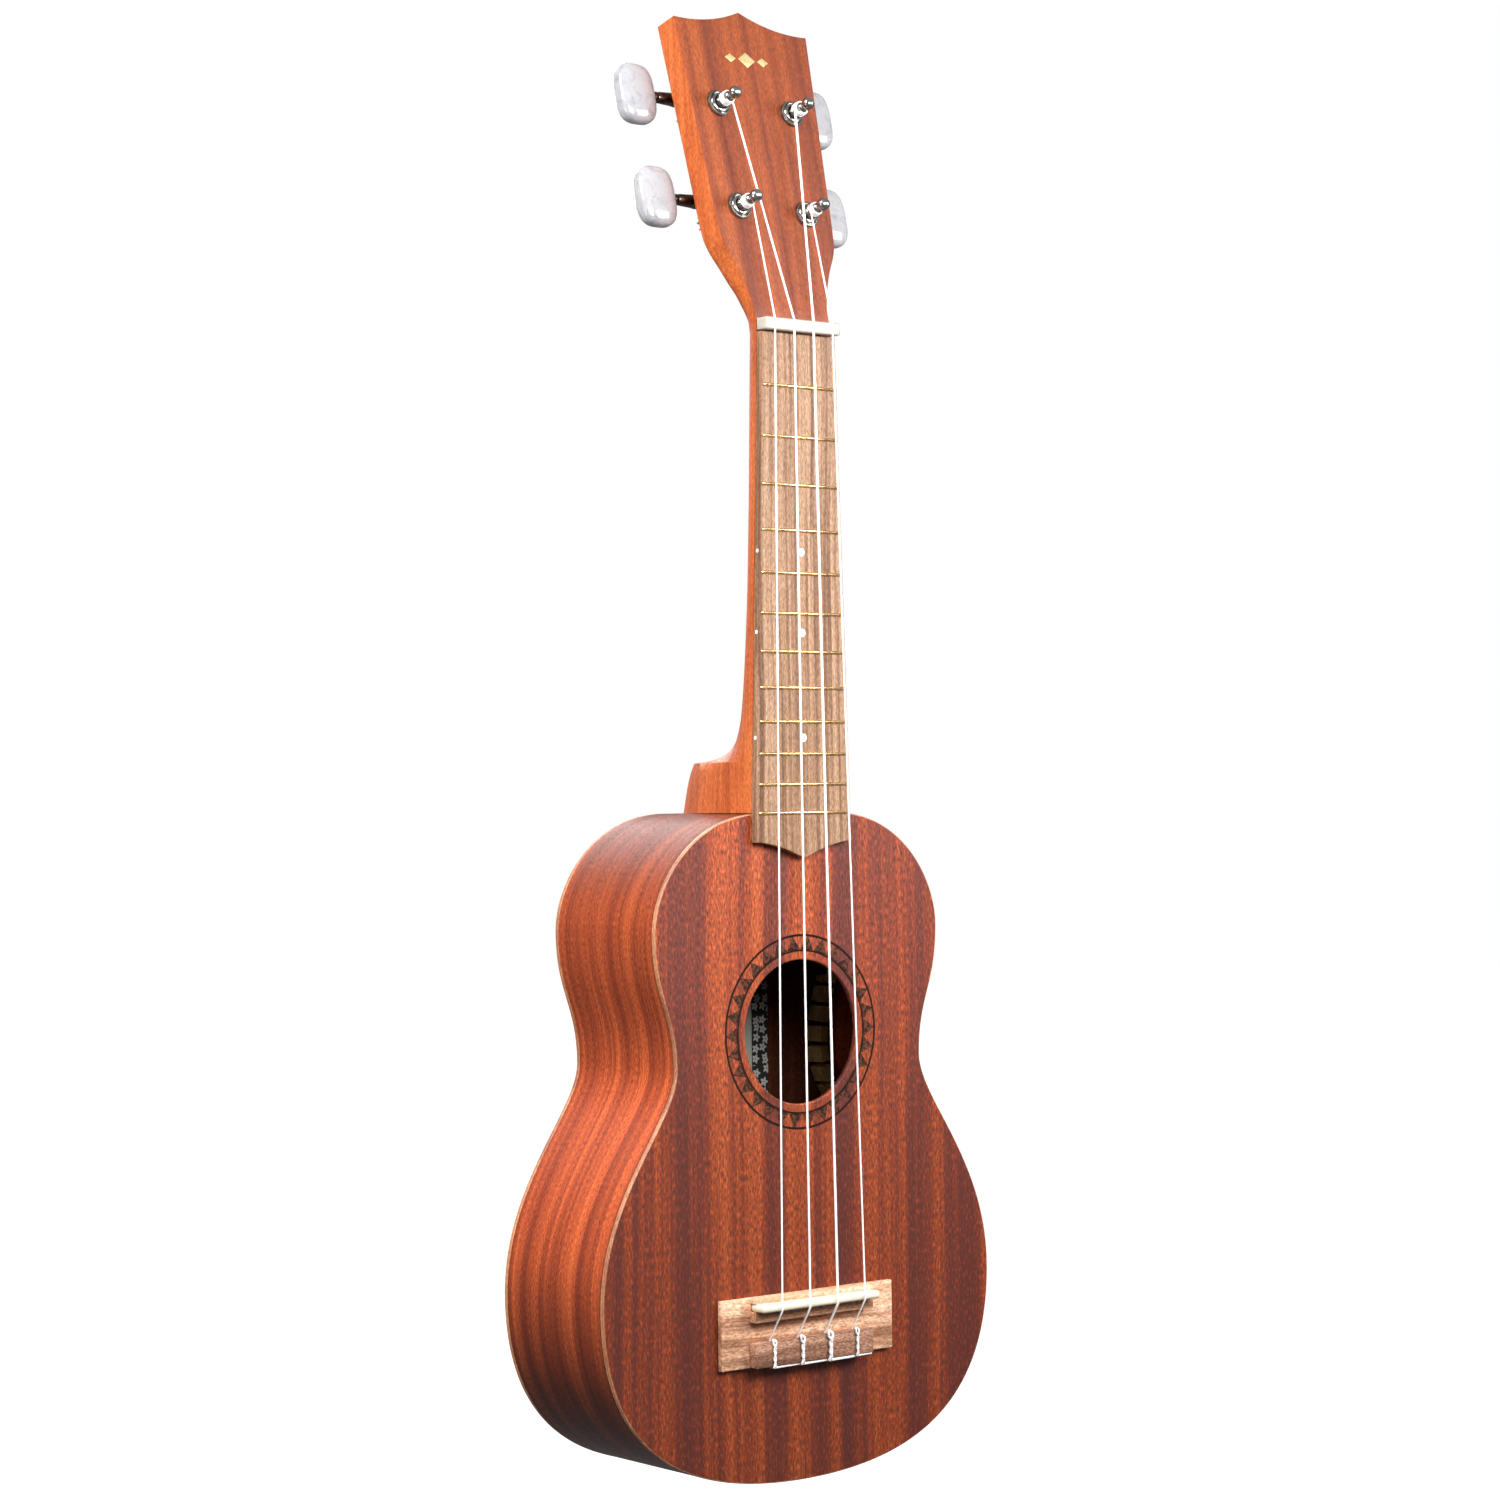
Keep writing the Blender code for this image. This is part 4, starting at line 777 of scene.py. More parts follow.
def skin(sections):
    """One closed mesh through sections with the same number of points."""
    work = bmesh.new()
    rings = [[work.verts.new(point) for point in section] for section in sections]
    for ring, following in zip(rings, rings[1:]):
        for index in range(len(ring)):
            after = (index + 1) % len(ring)
            work.faces.new((ring[index], ring[after], following[after], following[index]))
    work.faces.new(list(reversed(rings[0])))
    work.faces.new(rings[-1])
    return mesh_of(work, "skin")


heel_rows = [(0.1 * mm, 1.15 * heel_depth), (18.4 * mm, heel_depth + 0.5 * mm),
             (18.8 * mm, 0.89 * heel_depth), (19.3 * mm, 0.79 * heel_depth),
             (20.5 * mm, 0.66 * heel_depth), (21.9 * mm, 0.575 * heel_depth),
             (23.4 * mm, 0.51 * heel_depth), (27 * mm, neck_depth + 10.2 * mm),
             (34 * mm, neck_depth + 6.7 * mm), (42 * mm, neck_depth + 4.9 * mm),
             (62 * mm, neck_depth + 2.4 * mm), (84 * mm, neck_depth + 0.7 * mm),
             (112 * mm, neck_depth)]
shaft_sections = []
for above, depth in eased_table(heel_rows, 6):
    z = shoulder_height + above
    shaft_sections.append(flat_faced_section(neck_half(z), depth, 2, Matrix.Translation((0, 0, z))))

shoulder_half, shoulder_along = 27.4 * mm, 38 * mm
top_half, corner_along, peak_along = 31.2 * mm, 115.2 * mm, 121 * mm
flare = shoulder_half - half_at_nut
head_thickness = 11.5 * mm
# Distance along the head, share of the flare, share of the thickness, squareness.
flare_table = ((6, 0.06, 1.04, 2.8), (12, 0.20, 1, 4), (17, 0.36, 1, 6), (22, 0.56, 1, 8),
               (27, 0.80, 1, 10), (30, 0.90, 1, 12), (33, 0.96, 1, 14), (38, 1, 1, 16))
flare_rows = [(along, half_at_nut + share * flare, thick * head_thickness, squareness)
              for along, share, thick, squareness in flare_table]
head_sections = [flat_faced_section(half_at_nut, neck_depth, 2, Matrix.Identity(4))]
throat = Matrix.Translation((0, 0, bend_height)) @ Matrix.Rotation(-tilt / 3, 4, "X")
head_sections.append(flat_faced_section(half_at_nut + 0.02 * flare, neck_depth - 0.3 * mm, 2.2,
                                        throat))
for along, half, thick, squareness in eased_table(flare_rows, 4):
    place = head_frame @ Matrix.Translation((0, 0, along * mm))
    head_sections.append(flat_faced_section(half, thick, squareness, place))
slope = (top_half - shoulder_half) / (corner_along - shoulder_along)
above = peak_along + 2 * mm
head_sections.append(flat_faced_section(shoulder_half + slope * (above - shoulder_along),
                                        head_thickness, 16,
                                        head_frame @ Matrix.Translation((0, 0, above))))


def block(low, high, easing=0.0, segments=3):
    """A block between two corners, with all its edges rounded if it isn't just a saw cut."""
    work = bmesh.new()
    size = [b - a for a, b in zip(low, high)]
    middle = [(a + b) / 2 for a, b in zip(low, high)]
    bmesh.ops.create_cube(work, size=1,
                          matrix=Matrix.Translation(middle) @ Matrix.Diagonal((*size, 1)))
    if easing:
        bmesh.ops.bevel(work, geom=work.edges[:], offset=easing, segments=segments, profile=0.5,
                        affect="EDGES")
    return mesh_of(work, "block", outward=False)


def sawn(mesh, cuts, how="DIFFERENCE"):
    """A mesh with other shapes cut away from it, or joined to it."""
    body = placed("body", mesh)
    tools = []
    for cut in cuts:
        tool = placed("tool", cut)
        modifier = body.modifiers.new("cut", "BOOLEAN")
        modifier.operation = how
        modifier.solver = "EXACT"
        modifier.object = tool
        tools.append(tool)
    result = plain_mesh(body)
    for tool in tools:
        bpy.data.objects.remove(tool, do_unlink=True)
    return result


far = 0.2
glue_depth, glue_line = 14.5 * mm, 0.07 * mm
heel_block_end = shoulder_height + 110 * mm
corner, peak = Vector((top_half, corner_along)), Vector((0, peak_along))
chord = peak - corner
inward = Vector((chord.y, -chord.x)).normalized()
inward *= -math.copysign(1, inward.y)
hollow = [corner + chord * share + inward * 8 * mm * share * (1 - share)
          for share in [step / 20 for step in range(21)]]
half_top = [(0.07, corner_along)] + [(p.x, p.y) for p in hollow]
top_loop = half_top + [(-x, y) for x, y in reversed(half_top[:-1])] + [(-0.07, 0.2), (0.07, 0.2)]
top_saw = board_mesh([top_loop], -30 * mm, 30 * mm, 0.0, head_frame @ upright_board)


def in_mm(*corners):
    """Pairs of millimetres as pairs of metres."""
    return [(a * mm, b * mm) for a, b in corners]


def turned_mesh(profile, steps=48, closed=False, place=Matrix.Identity(4)):
    """A piece turned about its own Z, from radius and height pairs that run down its side."""
    work = bmesh.new()
    corners = [work.verts.new((radius, 0, height)) for radius, height in profile]
    edges = [work.edges.new(pair) for pair in zip(corners, corners[1:])]
    if closed:
        edges.append(work.edges.new((corners[-1], corners[0])))
    bmesh.ops.spin(work, geom=corners + edges, axis=(0, 0, 1), cent=(0, 0, 0), angle=2 * math.pi,
                   steps=steps, use_duplicate=False)
    bmesh.ops.remove_doubles(work, verts=work.verts, dist=1e-7)
    mesh = mesh_of(work, "turned")
    mesh.transform(place)
    return mesh


def rod(radius, top, bottom, steps, place):
    """A plain cylinder about its own Z, used as a drill or a file."""
    return turned_mesh([(0, top), (radius, top), (radius, bottom), (0, bottom)], steps=steps,
                       place=place)


forward_axis, sideways = Matrix.Rotation(math.pi / 2, 4, "X"), Matrix.Rotation(math.pi / 2, 4, "Y")
machines = []
for row in ("lower", "upper"):
    for side, hand in ((-1, "left"), (1, "right")):
        name = hand + "_" + row
        post, worm = joints[name + "_post_turn"], joints[name + "_button_turn"]
        place = Matrix.Translation(post["pos_m"]) @ Matrix.Rotation(-tilt, 4, "X")
        machines.append((name, side, place, place.inverted() @ Vector(worm["pos_m"])))

bushing_hole = 3.4 * mm
drills = [rod(bushing_hole, 30 * mm, -30 * mm, 32, machine[2] @ forward_axis)
          for machine in machines]
neck_cuts = [block((-far, glue_depth - glue_line, -0.5), (far, far, heel_block_end)),
             top_saw] + drills
neck_mesh = sawn(skin(shaft_sections + head_sections), neck_cuts)
heel_cuts = [block((-far, -far, -0.5), (far, glue_depth + glue_line, far)),
             block((-far, heel_depth, -0.5), (far, far, far))]
heel_mesh = sawn(skin(shaft_sections), heel_cuts)
neck_tones = ((0.0, (0.335, 0.064, 0.013)), (0.5, (0.444, 0.093, 0.020)),
              (1.0, (0.552, 0.134, 0.032)))
neck_wood = timber("neck_mahogany_satin", neck_tones, ribbon=120, drift=3.0, pores=0.30, gloss=0.44,
                   polish=0.28, seed=21.0, streaks=0.5)
face_tones = ((0.0, (0.130, 0.026, 0.011)), (0.45, (0.213, 0.044, 0.014)),
              (1.0, (0.299, 0.068, 0.018)))
face_wood = timber("headstock_face_mahogany", face_tones, ribbon=110, drift=1.5, pores=0.32,
                   gloss=0.44, polish=0.30, seed=31.0, spin=tilt)
head_front = head_frame.to_3x3() @ Vector((0, -1, 0))
for face in neck_mesh.polygons:
    on_face = face.normal.dot(head_front) > 0.97 and face.center.z > nut_high.z
    face.material_index = 1 if on_face else 0
show("neck_and_headstock", neck_mesh, [neck_wood, face_wood], slot="neck_mahogany",
     stands_for=["neck"], sharp=40)
show("heel_block", heel_mesh, neck_wood, slot="neck_mahogany", stands_for=["heel"], sharp=40)

# ---- fretboard -----------------------------------------------------------------------------
# An oiled walnut board, glued along the neck and onto the body, that ends in a shallow point.
# Its edges are slightly eased.
board_bottom, board_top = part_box("fretboard")
corner_z = shoulder_height - 10.4 * mm
half = neck_half(corner_z)
handles = (half, corner_z), (0.6 * half, corner_z - 0.6 * mm), (0.3 * half, corner_z - 3.3 * mm)
tip = [tuple(p[:2]) for p in interpolate_bezier(*handles, (0, corner_z - 6 * mm), 20)]
outline = list(reversed(tip)) + [(neck_half(board_top.z), board_top.z), (0, board_top.z)]
walnut_tones = ((0.0, (0.130, 0.056, 0.027)), (0.35, (0.233, 0.119, 0.063)),
                (0.65, (0.325, 0.182, 0.104)), (1.0, (0.405, 0.250, 0.154)))
walnut = timber("fretboard_walnut_oiled", walnut_tones, ribbon=150, drift=2.6, pores=0.32,
                gloss=0.52, polish=0.30, seed=41.0, streaks=0.6)
fretboard_mesh = board_mesh([whole_outline(outline)], board_bottom.y, 0.0, 0.25 * mm)
show("finger_board", fretboard_mesh, walnut, slot="fretboard_walnut", stands_for=["fretboard"],
     sharp=15)

# ---- frets ---------------------------------------------------------------------------------
# Round-topped brass wire, pressed into saw cuts at the equal-tempered stops, and filed to a
# slope at both ends.
fret_metal, flow, shader = new_finish("fret_brass", Metallic=1.0, Roughness=0.24)
rubbed = clouds_in(flow, 400, 3000, 3000)
connect(shader, Base_Color=rubbed.ramp(((0.2, (0.58, 0.37, 0.15)), (0.8, (0.86, 0.63, 0.32)))),
        Roughness=0.18 + rubbed * 0.16)
scale_length = 346 * mm
wire_half = 0.65 * mm
work = bmesh.new()
rings = []
for x, lowered in ((-0.5, 0.35), (-0.475, 1.0), (0.475, 1.0), (0.5, 0.35)):
    rings.append([work.verts.new((x, -0.85 * mm * lowered * math.sin(math.pi * s / 10),
                                  wire_half * math.cos(math.pi * s / 10))) for s in range(11)])
for ring, following in zip(rings, rings[1:]):
    for s in range(11):
        work.faces.new((ring[s], ring[(s + 1) % 11], following[(s + 1) % 11], following[s]))
work.faces.new(list(reversed(rings[0])))
work.faces.new(rings[-1])
wire_blank = placed("wire_blank", mesh_of(work, "wire_blank"))

rule = Rule("fret_wires", Wire=wire_blank, Count=12, Scale_length=scale_length,
            Nut_width=2 * half_at_nut, Growth=2 * (half_at_body - half_at_nut) / -shoulder_height,
            Inset=1.2 * mm)
number = rule.node("InputIndex") + 1
stop = ((number * (-math.log(2) / 12)).maths("EXPONENT") - 1) * rule.size("Scale_length")
length = rule.size("Nut_width") - stop * rule.size("Growth") - rule.size("Inset")
spots = rule.node("MeshLine", Count=rule.size("Count"), Offset=(0, 0, 0))
spots = rule.node("SetPosition", Geometry=spots, Position=rule.vector(0.0, 0.0, stop))
blank = rule.path("Wire")
wires = rule.node("InstanceOnPoints", Points=spots, Instance=blank,
                  Scale=rule.vector(length, 1.0, 1.0))
frets_mesh = rule.carry_out(wires, fret_metal)
bpy.data.objects.remove(wire_blank, do_unlink=True)
frets_mesh.transform(Matrix.Translation((0, board_bottom.y, 0)))
show("fret_wires", frets_mesh, fret_metal, slot="fret_wire",
     stands_for=["fret_%02d" % n for n in range(1, 13)])

# ---- position dots -------------------------------------------------------------------------
# Small discs of pale shell, let into the board's face between the fifth, seventh and tenth
# frets and their neighbours, and smaller ones in its left edge.
shell, flow, shader = new_finish("shell_discs", Roughness=0.25)
clouds = clouds_in(flow, 700, 700, 700)
connect(shader, Base_Color=clouds.ramp(((0.3, (0.70, 0.70, 0.72)), (0.7, (0.92, 0.92, 0.90)))))


def stop_height(number):
    """Where a fret stands, below the nut."""
    return -scale_length * (1 - 2 ** (-number / 12))


dots = []
for number in (5, 7, 10):
    z = (stop_height(number) + stop_height(number - 1)) / 2
    face_disc = in_mm((0, 0.05), (1.35, 0.05), (1.5, 0), (1.5, -1), (0, -1))
    dots.append(turned_mesh(face_disc, place=Matrix.Translation((0, board_bottom.y, z))
                            @ forward_axis))
    edge_disc = in_mm((0, 0.05), (0.7, 0.05), (0.75, 0), (0.75, -1), (0, -1))
    edge_place = Matrix.Translation((-neck_half(z), board_bottom.y / 2, z))
    dots.append(turned_mesh(edge_disc, place=edge_place @ Matrix.Rotation(-math.pi / 2, 4, "Y")))
show("position_dots", joined(dots), shell, slot="bone")

# ---- nut and saddle ------------------------------------------------------------------------
# Both are moulded in an ivory-coloured plastic and polished. The nut has a shallow slot for
# each string, and the saddle has a rounded crest.
ivory, flow, shader = new_finish("ivory_plastic", Roughness=0.3, Subsurface_Weight=0.12,
                                 Subsurface_Radius=(0.002, 0.0015, 0.001), Subsurface_Scale=1.0)
clouds = clouds_in(flow, 120, 500, 300, 3.0)
scuffs = clouds_in(flow, 900, 3000, 900)
cream = clouds.ramp(((0.25, (0.74, 0.67, 0.50)), (0.75, (0.85, 0.80, 0.67))))
# Painted shade: the nut's end of the piece is darkened against the strong lamp light that falls on
# it.
nut_painted_shade = sawn_axes(flow)[1].between(-0.10, -0.02)
connect(shader,
        Base_Color=flow.mix(nut_painted_shade, cream, flow.mix(1.0, cream, (0.56, 0.55, 0.58, 1), "MULTIPLY")),
        Roughness=0.22 + scuffs * 0.18)

nut_spacing, saddle_spacing = 9.0 * mm, 12.9 * mm
nut_string_y, saddle_string_y = -6.2 * mm, -11.1 * mm
string_radii = (0.32 * mm, 0.38 * mm, 0.45 * mm, 0.32 * mm)
string_sides = (-1.5, -0.5, 0.5, 1.5)
slots = [rod(radius * 1.25, 10 * mm, -10 * mm, 20,
             Matrix.Translation((share * nut_spacing, nut_string_y, 0)))
         for share, radius in zip(string_sides, string_radii)]
show("string_nut", sawn(block(nut_low, nut_high, 0.6 * mm), slots), ivory, slot="bone",
     stands_for=["nut"])
saddle_low, saddle_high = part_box("saddle")
show("string_saddle", block(saddle_low, saddle_high, 1.1 * mm, 5), ivory, slot="bone",
     stands_for=["saddle"])

# ---- bridge --------------------------------------------------------------------------------
# A walnut bridge glued to the soundboard: thin wings, a slotted bar that carries the saddle,
# a channel, and a tie block drilled for the strings.
bridge_low, bridge_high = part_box("bridge")
wing_top, bar_top = -2.3 * mm, bridge_low.y
middle_half = 27.5 * mm
saddle_bar, tie_bar = 8.6 * mm, 9.0 * mm
bridge_walnut = timber("bridge_walnut_oiled",
                       ((0.0, (0.319, 0.147, 0.081)), (0.4, (0.552, 0.294, 0.174)),
                        (0.7, (0.701, 0.403, 0.254)), (1.0, (0.807, 0.512, 0.348))), ribbon=260,
                       drift=9, pores=0.40, gloss=0.55, polish=0.25, seed=51.0, across="Z",
                       along="X")
tie_walnut = timber("tie_block_walnut_oiled",
                    ((0.0, (0.17, 0.075, 0.045)), (0.45, (0.31, 0.155, 0.098)),
                     (1.0, (0.44, 0.245, 0.160))), ribbon=300, drift=14, pores=0.50, gloss=0.55,
                    polish=0.25, seed=57.0, across="Z", along="X")
bars = [block((-middle_half, bar_top, low), (middle_half, -1.0 * mm, high), 0.4 * mm, 2)
        for low, high in ((bridge_high.z - saddle_bar, bridge_high.z - 0.15 * mm),
                          (bridge_low.z + 0.15 * mm, bridge_low.z + tie_bar))]
bridge_mesh = sawn(block((bridge_low.x, wing_top, bridge_low.z),
                         (bridge_high.x, -0.02 * mm, bridge_high.z), 0.4 * mm, 2), bars, "UNION")
saddle_middle = (saddle_low.z + saddle_high.z) / 2
slot_half = (saddle_high.z - saddle_low.z) / 2 + 0.08 * mm
cuts = [block((-middle_half - 1 * mm, -0.05, saddle_middle - slot_half),
              (middle_half + 1 * mm, saddle_high.y + 0.1 * mm, saddle_middle + slot_half))]
tie_hole_y = -3.7 * mm
cuts += [rod(radius + 0.3 * mm, 15 * mm, -15 * mm, 20,
             Matrix.Translation((share * saddle_spacing, tie_hole_y, bridge_low.z)))
         for share, radius in zip(string_sides, string_radii)]
bridge_mesh = sawn(bridge_mesh, cuts)
for face in bridge_mesh.polygons:
    above_wings = face.center.y < wing_top - 0.1 * mm
    on_tie_block = above_wings and face.center.z < bridge_low.z + tie_bar + 0.3 * mm
    face.material_index = 1 if on_tie_block else 0
show("string_bridge", bridge_mesh, [bridge_walnut, tie_walnut], slot="bridge_walnut",
     stands_for=["bridge"])

# ---- tuning machines -----------------------------------------------------------------------
# Each has a bushing pressed into the headstock's face, a turned post with a brass gear at its
# foot, a back plate with two lugs, and a worm on a shaft that ends in a pearl button.
worm_distance, worm_depth = machines[0][3].z, machines[0][3].y
gear_teeth, worm_pitch = 14, 2.3 * mm
gear_radius = gear_teeth * worm_pitch / (2 * math.pi)
gear_thickness, gear_seat = 3.6 * mm, 1.7 * mm
crest = worm_distance - gear_radius + 0.65 * mm


def plated(name, dark, light, rough):
    """Polished plating with a faint clouding and hair scratches."""
    material, flow, shader = new_finish(name, Metallic=1.0)
    place = flow.place()
    clouds = flow.noise(place, 420.0, 3.0)
    scratches = flow.noise(place, 2600.0, 2.0)
    connect(shader, Base_Color=clouds.ramp(((0.3, dark), (0.7, light))),
            Roughness=rough + scratches * 0.10 + clouds * 0.05)
    return material


nickel = plated("bright_nickel", (0.24, 0.225, 0.20), (0.38, 0.365, 0.34), 0.14)
black_nickel = plated("black_nickel", (0.05, 0.045, 0.04), (0.16, 0.14, 0.13), 0.16)
gear_brass = plated("gear_brass", (0.62, 0.42, 0.16), (0.80, 0.60, 0.28), 0.24)

pearl, flow, shader = new_finish("pearl_plastic", Roughness=0.16, Coat_Weight=0.5,
                                 Coat_Roughness=0.08, Subsurface_Weight=0.15,
                                 Subsurface_Radius=(0.003, 0.003, 0.003), Subsurface_Scale=1.0)
place = flow.place()
swirl = flow.noise(place, 130.0, 4.0, 0.6, 1.6)
ripple = flow.noise(place, 420.0, 2.0, 0.5, 2.0)
streaked = swirl * 0.75 + ripple * 0.25
connect(shader, Base_Color=streaked.ramp(((0.32, (0.27, 0.28, 0.30)), (0.46, (0.36, 0.36, 0.38)),
                                          (0.56, (0.41, 0.40, 0.41)), (0.70, (0.31, 0.31, 0.33)))))

rule = Rule("gear_outline", Teeth=gear_teeth, Tip=gear_radius + 0.65 * mm,
            Root=gear_radius - 0.9 * mm, Thickness=gear_thickness)
index = rule.node("InputIndex")
tooth = (index / 4).maths("FLOOR")
corner = index - tooth * 4
on_tip = (corner - 1.5).maths("ABSOLUTE").maths("LESS_THAN", 1.0)
lean = (corner - 1.5) * (0.5 / 3) + (corner - 1.5) * on_tip * 0.02
radius = rule.size("Root") + (rule.size("Tip") - rule.size("Root")) * on_tip
angle = math.pi / 2 + (tooth + 0.5 + lean) * (2 * math.pi / gear_teeth)
disc = rule.node("MeshCircle", {"fill_type": "NGON"},
                 {"Vertices": rule.size("Teeth") * 4, "Radius": 1.0})
edge = rule.vector(angle.maths("COSINE") * radius, angle.maths("SINE") * radius,
                   rule.size("Thickness") * -0.5)
disc = rule.node("SetPosition", Geometry=disc, Position=edge)
walls = rule.node("ExtrudeMesh", {"mode": "FACES"},
                  {"Mesh": disc, "Offset Scale": rule.size("Thickness")})
flipped = rule.node("FlipFaces", Mesh=disc)
gear_mesh = rule.carry_out(rule.together(walls, flipped), gear_brass)

worm_length, shaft_radius, lug_thickness, gap = 7.0 * mm, 1.6 * mm, 1.6 * mm, 0.3 * mm


def worm_thread(turn_steps=28):
    """A length of worm thread round its own X axis, cut square at both ends."""
    root, half_crest, half_root = shaft_radius - 0.4 * mm, 0.085 * worm_pitch, 0.255 * worm_pitch
    turns = math.ceil(worm_length / worm_pitch) + 3
    start = -(turns // 2) * worm_pitch
    outline = ((-half_root, root), (-half_crest, crest), (half_crest, crest), (half_root, root),
               (worm_pitch - half_root, root))
    work = bmesh.new()
    corners = [work.verts.new((start + x, 0, -radius)) for x, radius in outline]
    edges = [work.edges.new(pair) for pair in zip(corners, corners[1:])]
    bmesh.ops.spin(work, geom=corners + edges, axis=(1, 0, 0), cent=(0, 0, 0), use_duplicate=False,
                   dvec=(worm_pitch / turn_steps, 0, 0), angle=2 * math.pi * turns,
                   steps=turn_steps * turns)
    bmesh.ops.remove_doubles(work, verts=work.verts, dist=1e-6)
    for end, facing in ((-worm_length / 2, -1), (worm_length / 2, 1)):
        bmesh.ops.bisect_plane(work, geom=work.verts[:] + work.edges[:] + work.faces[:],
                               plane_co=(end, 0, 0), plane_no=(facing, 0, 0), clear_outer=True)
        rim = [e for e in work.edges if e.is_boundary
               and all(abs(v.co.x - end) < 1e-6 for v in e.verts)]
        bmesh.ops.edgeloop_fill(work, edges=rim)
    return mesh_of(work, "thread")


near_button = 16.8 * mm
collar_start = worm_length / 2 + 3 * gap + lug_thickness
button_bore = 7 * mm
shaft_end = -worm_length / 2 - 2 * gap - lug_thickness - 0.4 * mm
shaft_profile = [(0, near_button + button_bore), (1.4 * mm, near_button + button_bore),
                 (1.4 * mm, near_button - gap), (1.9 * mm, near_button - gap),
                 (2.0 * mm, near_button - 0.6 * mm), (2.0 * mm, near_button - 1.6 * mm),
                 (1.85 * mm, near_button - 1.9 * mm), (2.1 * mm, near_button - 2.6 * mm),
                 (2.45 * mm, collar_start + 2.2 * mm), (2.65 * mm, collar_start + 1.2 * mm),
                 (2.7 * mm, collar_start + 0.3 * mm), (2.5 * mm, collar_start),
                 (shaft_radius, collar_start), (shaft_radius, shaft_end), (0, shaft_end)]
worm_mesh = joined([turned_mesh(shaft_profile, place=sideways), worm_thread()])

button_size = Vector((15.9, 8.2, 22.9)) * mm
work = bmesh.new()
bmesh.ops.create_cube(work, size=2)
bmesh.ops.subdivide_edges(work, edges=work.edges[:], cuts=15, use_grid_fill=True)
for vert in work.verts:
    reach = sum(abs(c) ** 3.2 for c in vert.co) ** (1 / 3.2)
    vert.co = [c / reach * size / 2 for c, size in zip(vert.co, button_size)]
bmesh.ops.translate(work, verts=work.verts, vec=(near_button + button_size.x / 2, 0, 0))
button_mesh = mesh_of(work, "button", outward=False)
bore = rod(1.55 * mm, button_bore + gap, -5 * mm, 24,
           Matrix.Translation((near_button, 0, 0)) @ sideways)
button_mesh = sawn(button_mesh, [bore])

post_top, post_radius, post_waist = 12.6 * mm, 2.4 * mm, 1.9 * mm
gear_front = worm_depth - gear_thickness / 2
post_profile = [(0, post_top)]
for step in range(1, 13):
    angle = math.radians(90 - 11 * step)
    post_profile.append((post_radius * math.cos(angle),
                         post_top - post_radius + post_radius * math.sin(angle)))
post_foot = -gear_front - gear_thickness
post_profile += in_mm((1.45, 8.0), (1.6, 7.5), (1.95, 7.1)) + [(post_waist, 6.8 * mm),
                                                               (post_waist, 3.6 * mm)]
post_profile += [(2.1 * mm, 3.1 * mm), (post_radius, 2.8 * mm), (post_radius, -gear_front + gap),
                 (gear_seat, -gear_front + gap), (gear_seat, post_foot), (0, post_foot)]
post_mesh = turned_mesh(post_profile, steps=56)
bushing_profile = in_mm((2.65, 1.75), (2.9, 1.9), (3.3, 1.85), (3.65, 1.6), (3.8, 1.1),
                        (3.95, 0.95), (4.3, 1.2), (4.7, 1.15), (4.95, 0.9), (5.0, 0.6), (5.0, 0.02),
                        (3.3, 0.02), (3.3, -8), (2.65, -8))
bushing_mesh = turned_mesh(bushing_profile, steps=56, closed=True)

plate_front = head_thickness + 0.02 * mm
plate_thickness = 1.0 * mm + gap


def rounded_plate(half, low, high, radius):
    """Outline of a plate with rounded corners."""
    corners = ((half - radius, low + radius, -90), (half - radius, high - radius, 0),
               (radius - half, high - radius, 90), (radius - half, low + radius, 180))
    return [(x + radius * math.cos(math.radians(first + 15 * s)),
             z + radius * math.sin(math.radians(first + 15 * s))) for x, z, first in corners
            for s in range(7)]


plate_low, plate_top = -9.5 * mm, worm_distance + 6.9 * mm
plate_mesh = board_mesh([rounded_plate(6 * mm, plate_low, plate_top, 2 * mm),
                         ring_of_points(2.7 * mm, steps=40)], plate_front,
                        plate_front + plate_thickness, 0.2 * mm)
lug_radius = 2.7 * mm
half_turn = [math.pi * s / 16 for s in range(17)]
lug_loop = [(plate_front + plate_thickness / 2, worm_distance - lug_radius)]
lug_loop += [(worm_depth + lug_radius * math.sin(t), worm_distance - lug_radius * math.cos(t))
             for t in half_turn]
lug_loop.append((plate_front + plate_thickness / 2, worm_distance + lug_radius))
side_board = Matrix(((0, 0, 1, 0), (1, 0, 0, 0), (0, 1, 0, 0), (0, 0, 0, 1)))
lug_start = worm_length / 2 + gap
lugs = [board_mesh([lug_loop, ring_of_points(shaft_radius + 0.15 * mm, (worm_depth, worm_distance),
                                             32)], start, start + lug_thickness, 0.15 * mm,
                   side_board) for start in (lug_start, -lug_start - lug_thickness)]
plate_mesh = sawn(plate_mesh, lugs, "UNION")

# Cross-headed screws: two hold each plate and one holds the gear on its post.
head_profile = in_mm((0, 0.75), (0.6, 0.72), (1.1, 0.55), (1.45, 0.25), (1.5, 0), (1.0, -0.6),
                     (0, -0.6))
cross = [block((-0.8 * mm, -0.17 * mm, 0.25 * mm), (0.8 * mm, 0.17 * mm, 2 * mm)),
         block((-0.17 * mm, -0.8 * mm, 0.25 * mm), (0.17 * mm, 0.8 * mm, 2 * mm))]
screw_mesh = sawn(turned_mesh(head_profile, steps=28), cross)
backwards = Matrix.Rotation(-math.pi / 2, 4, "X")

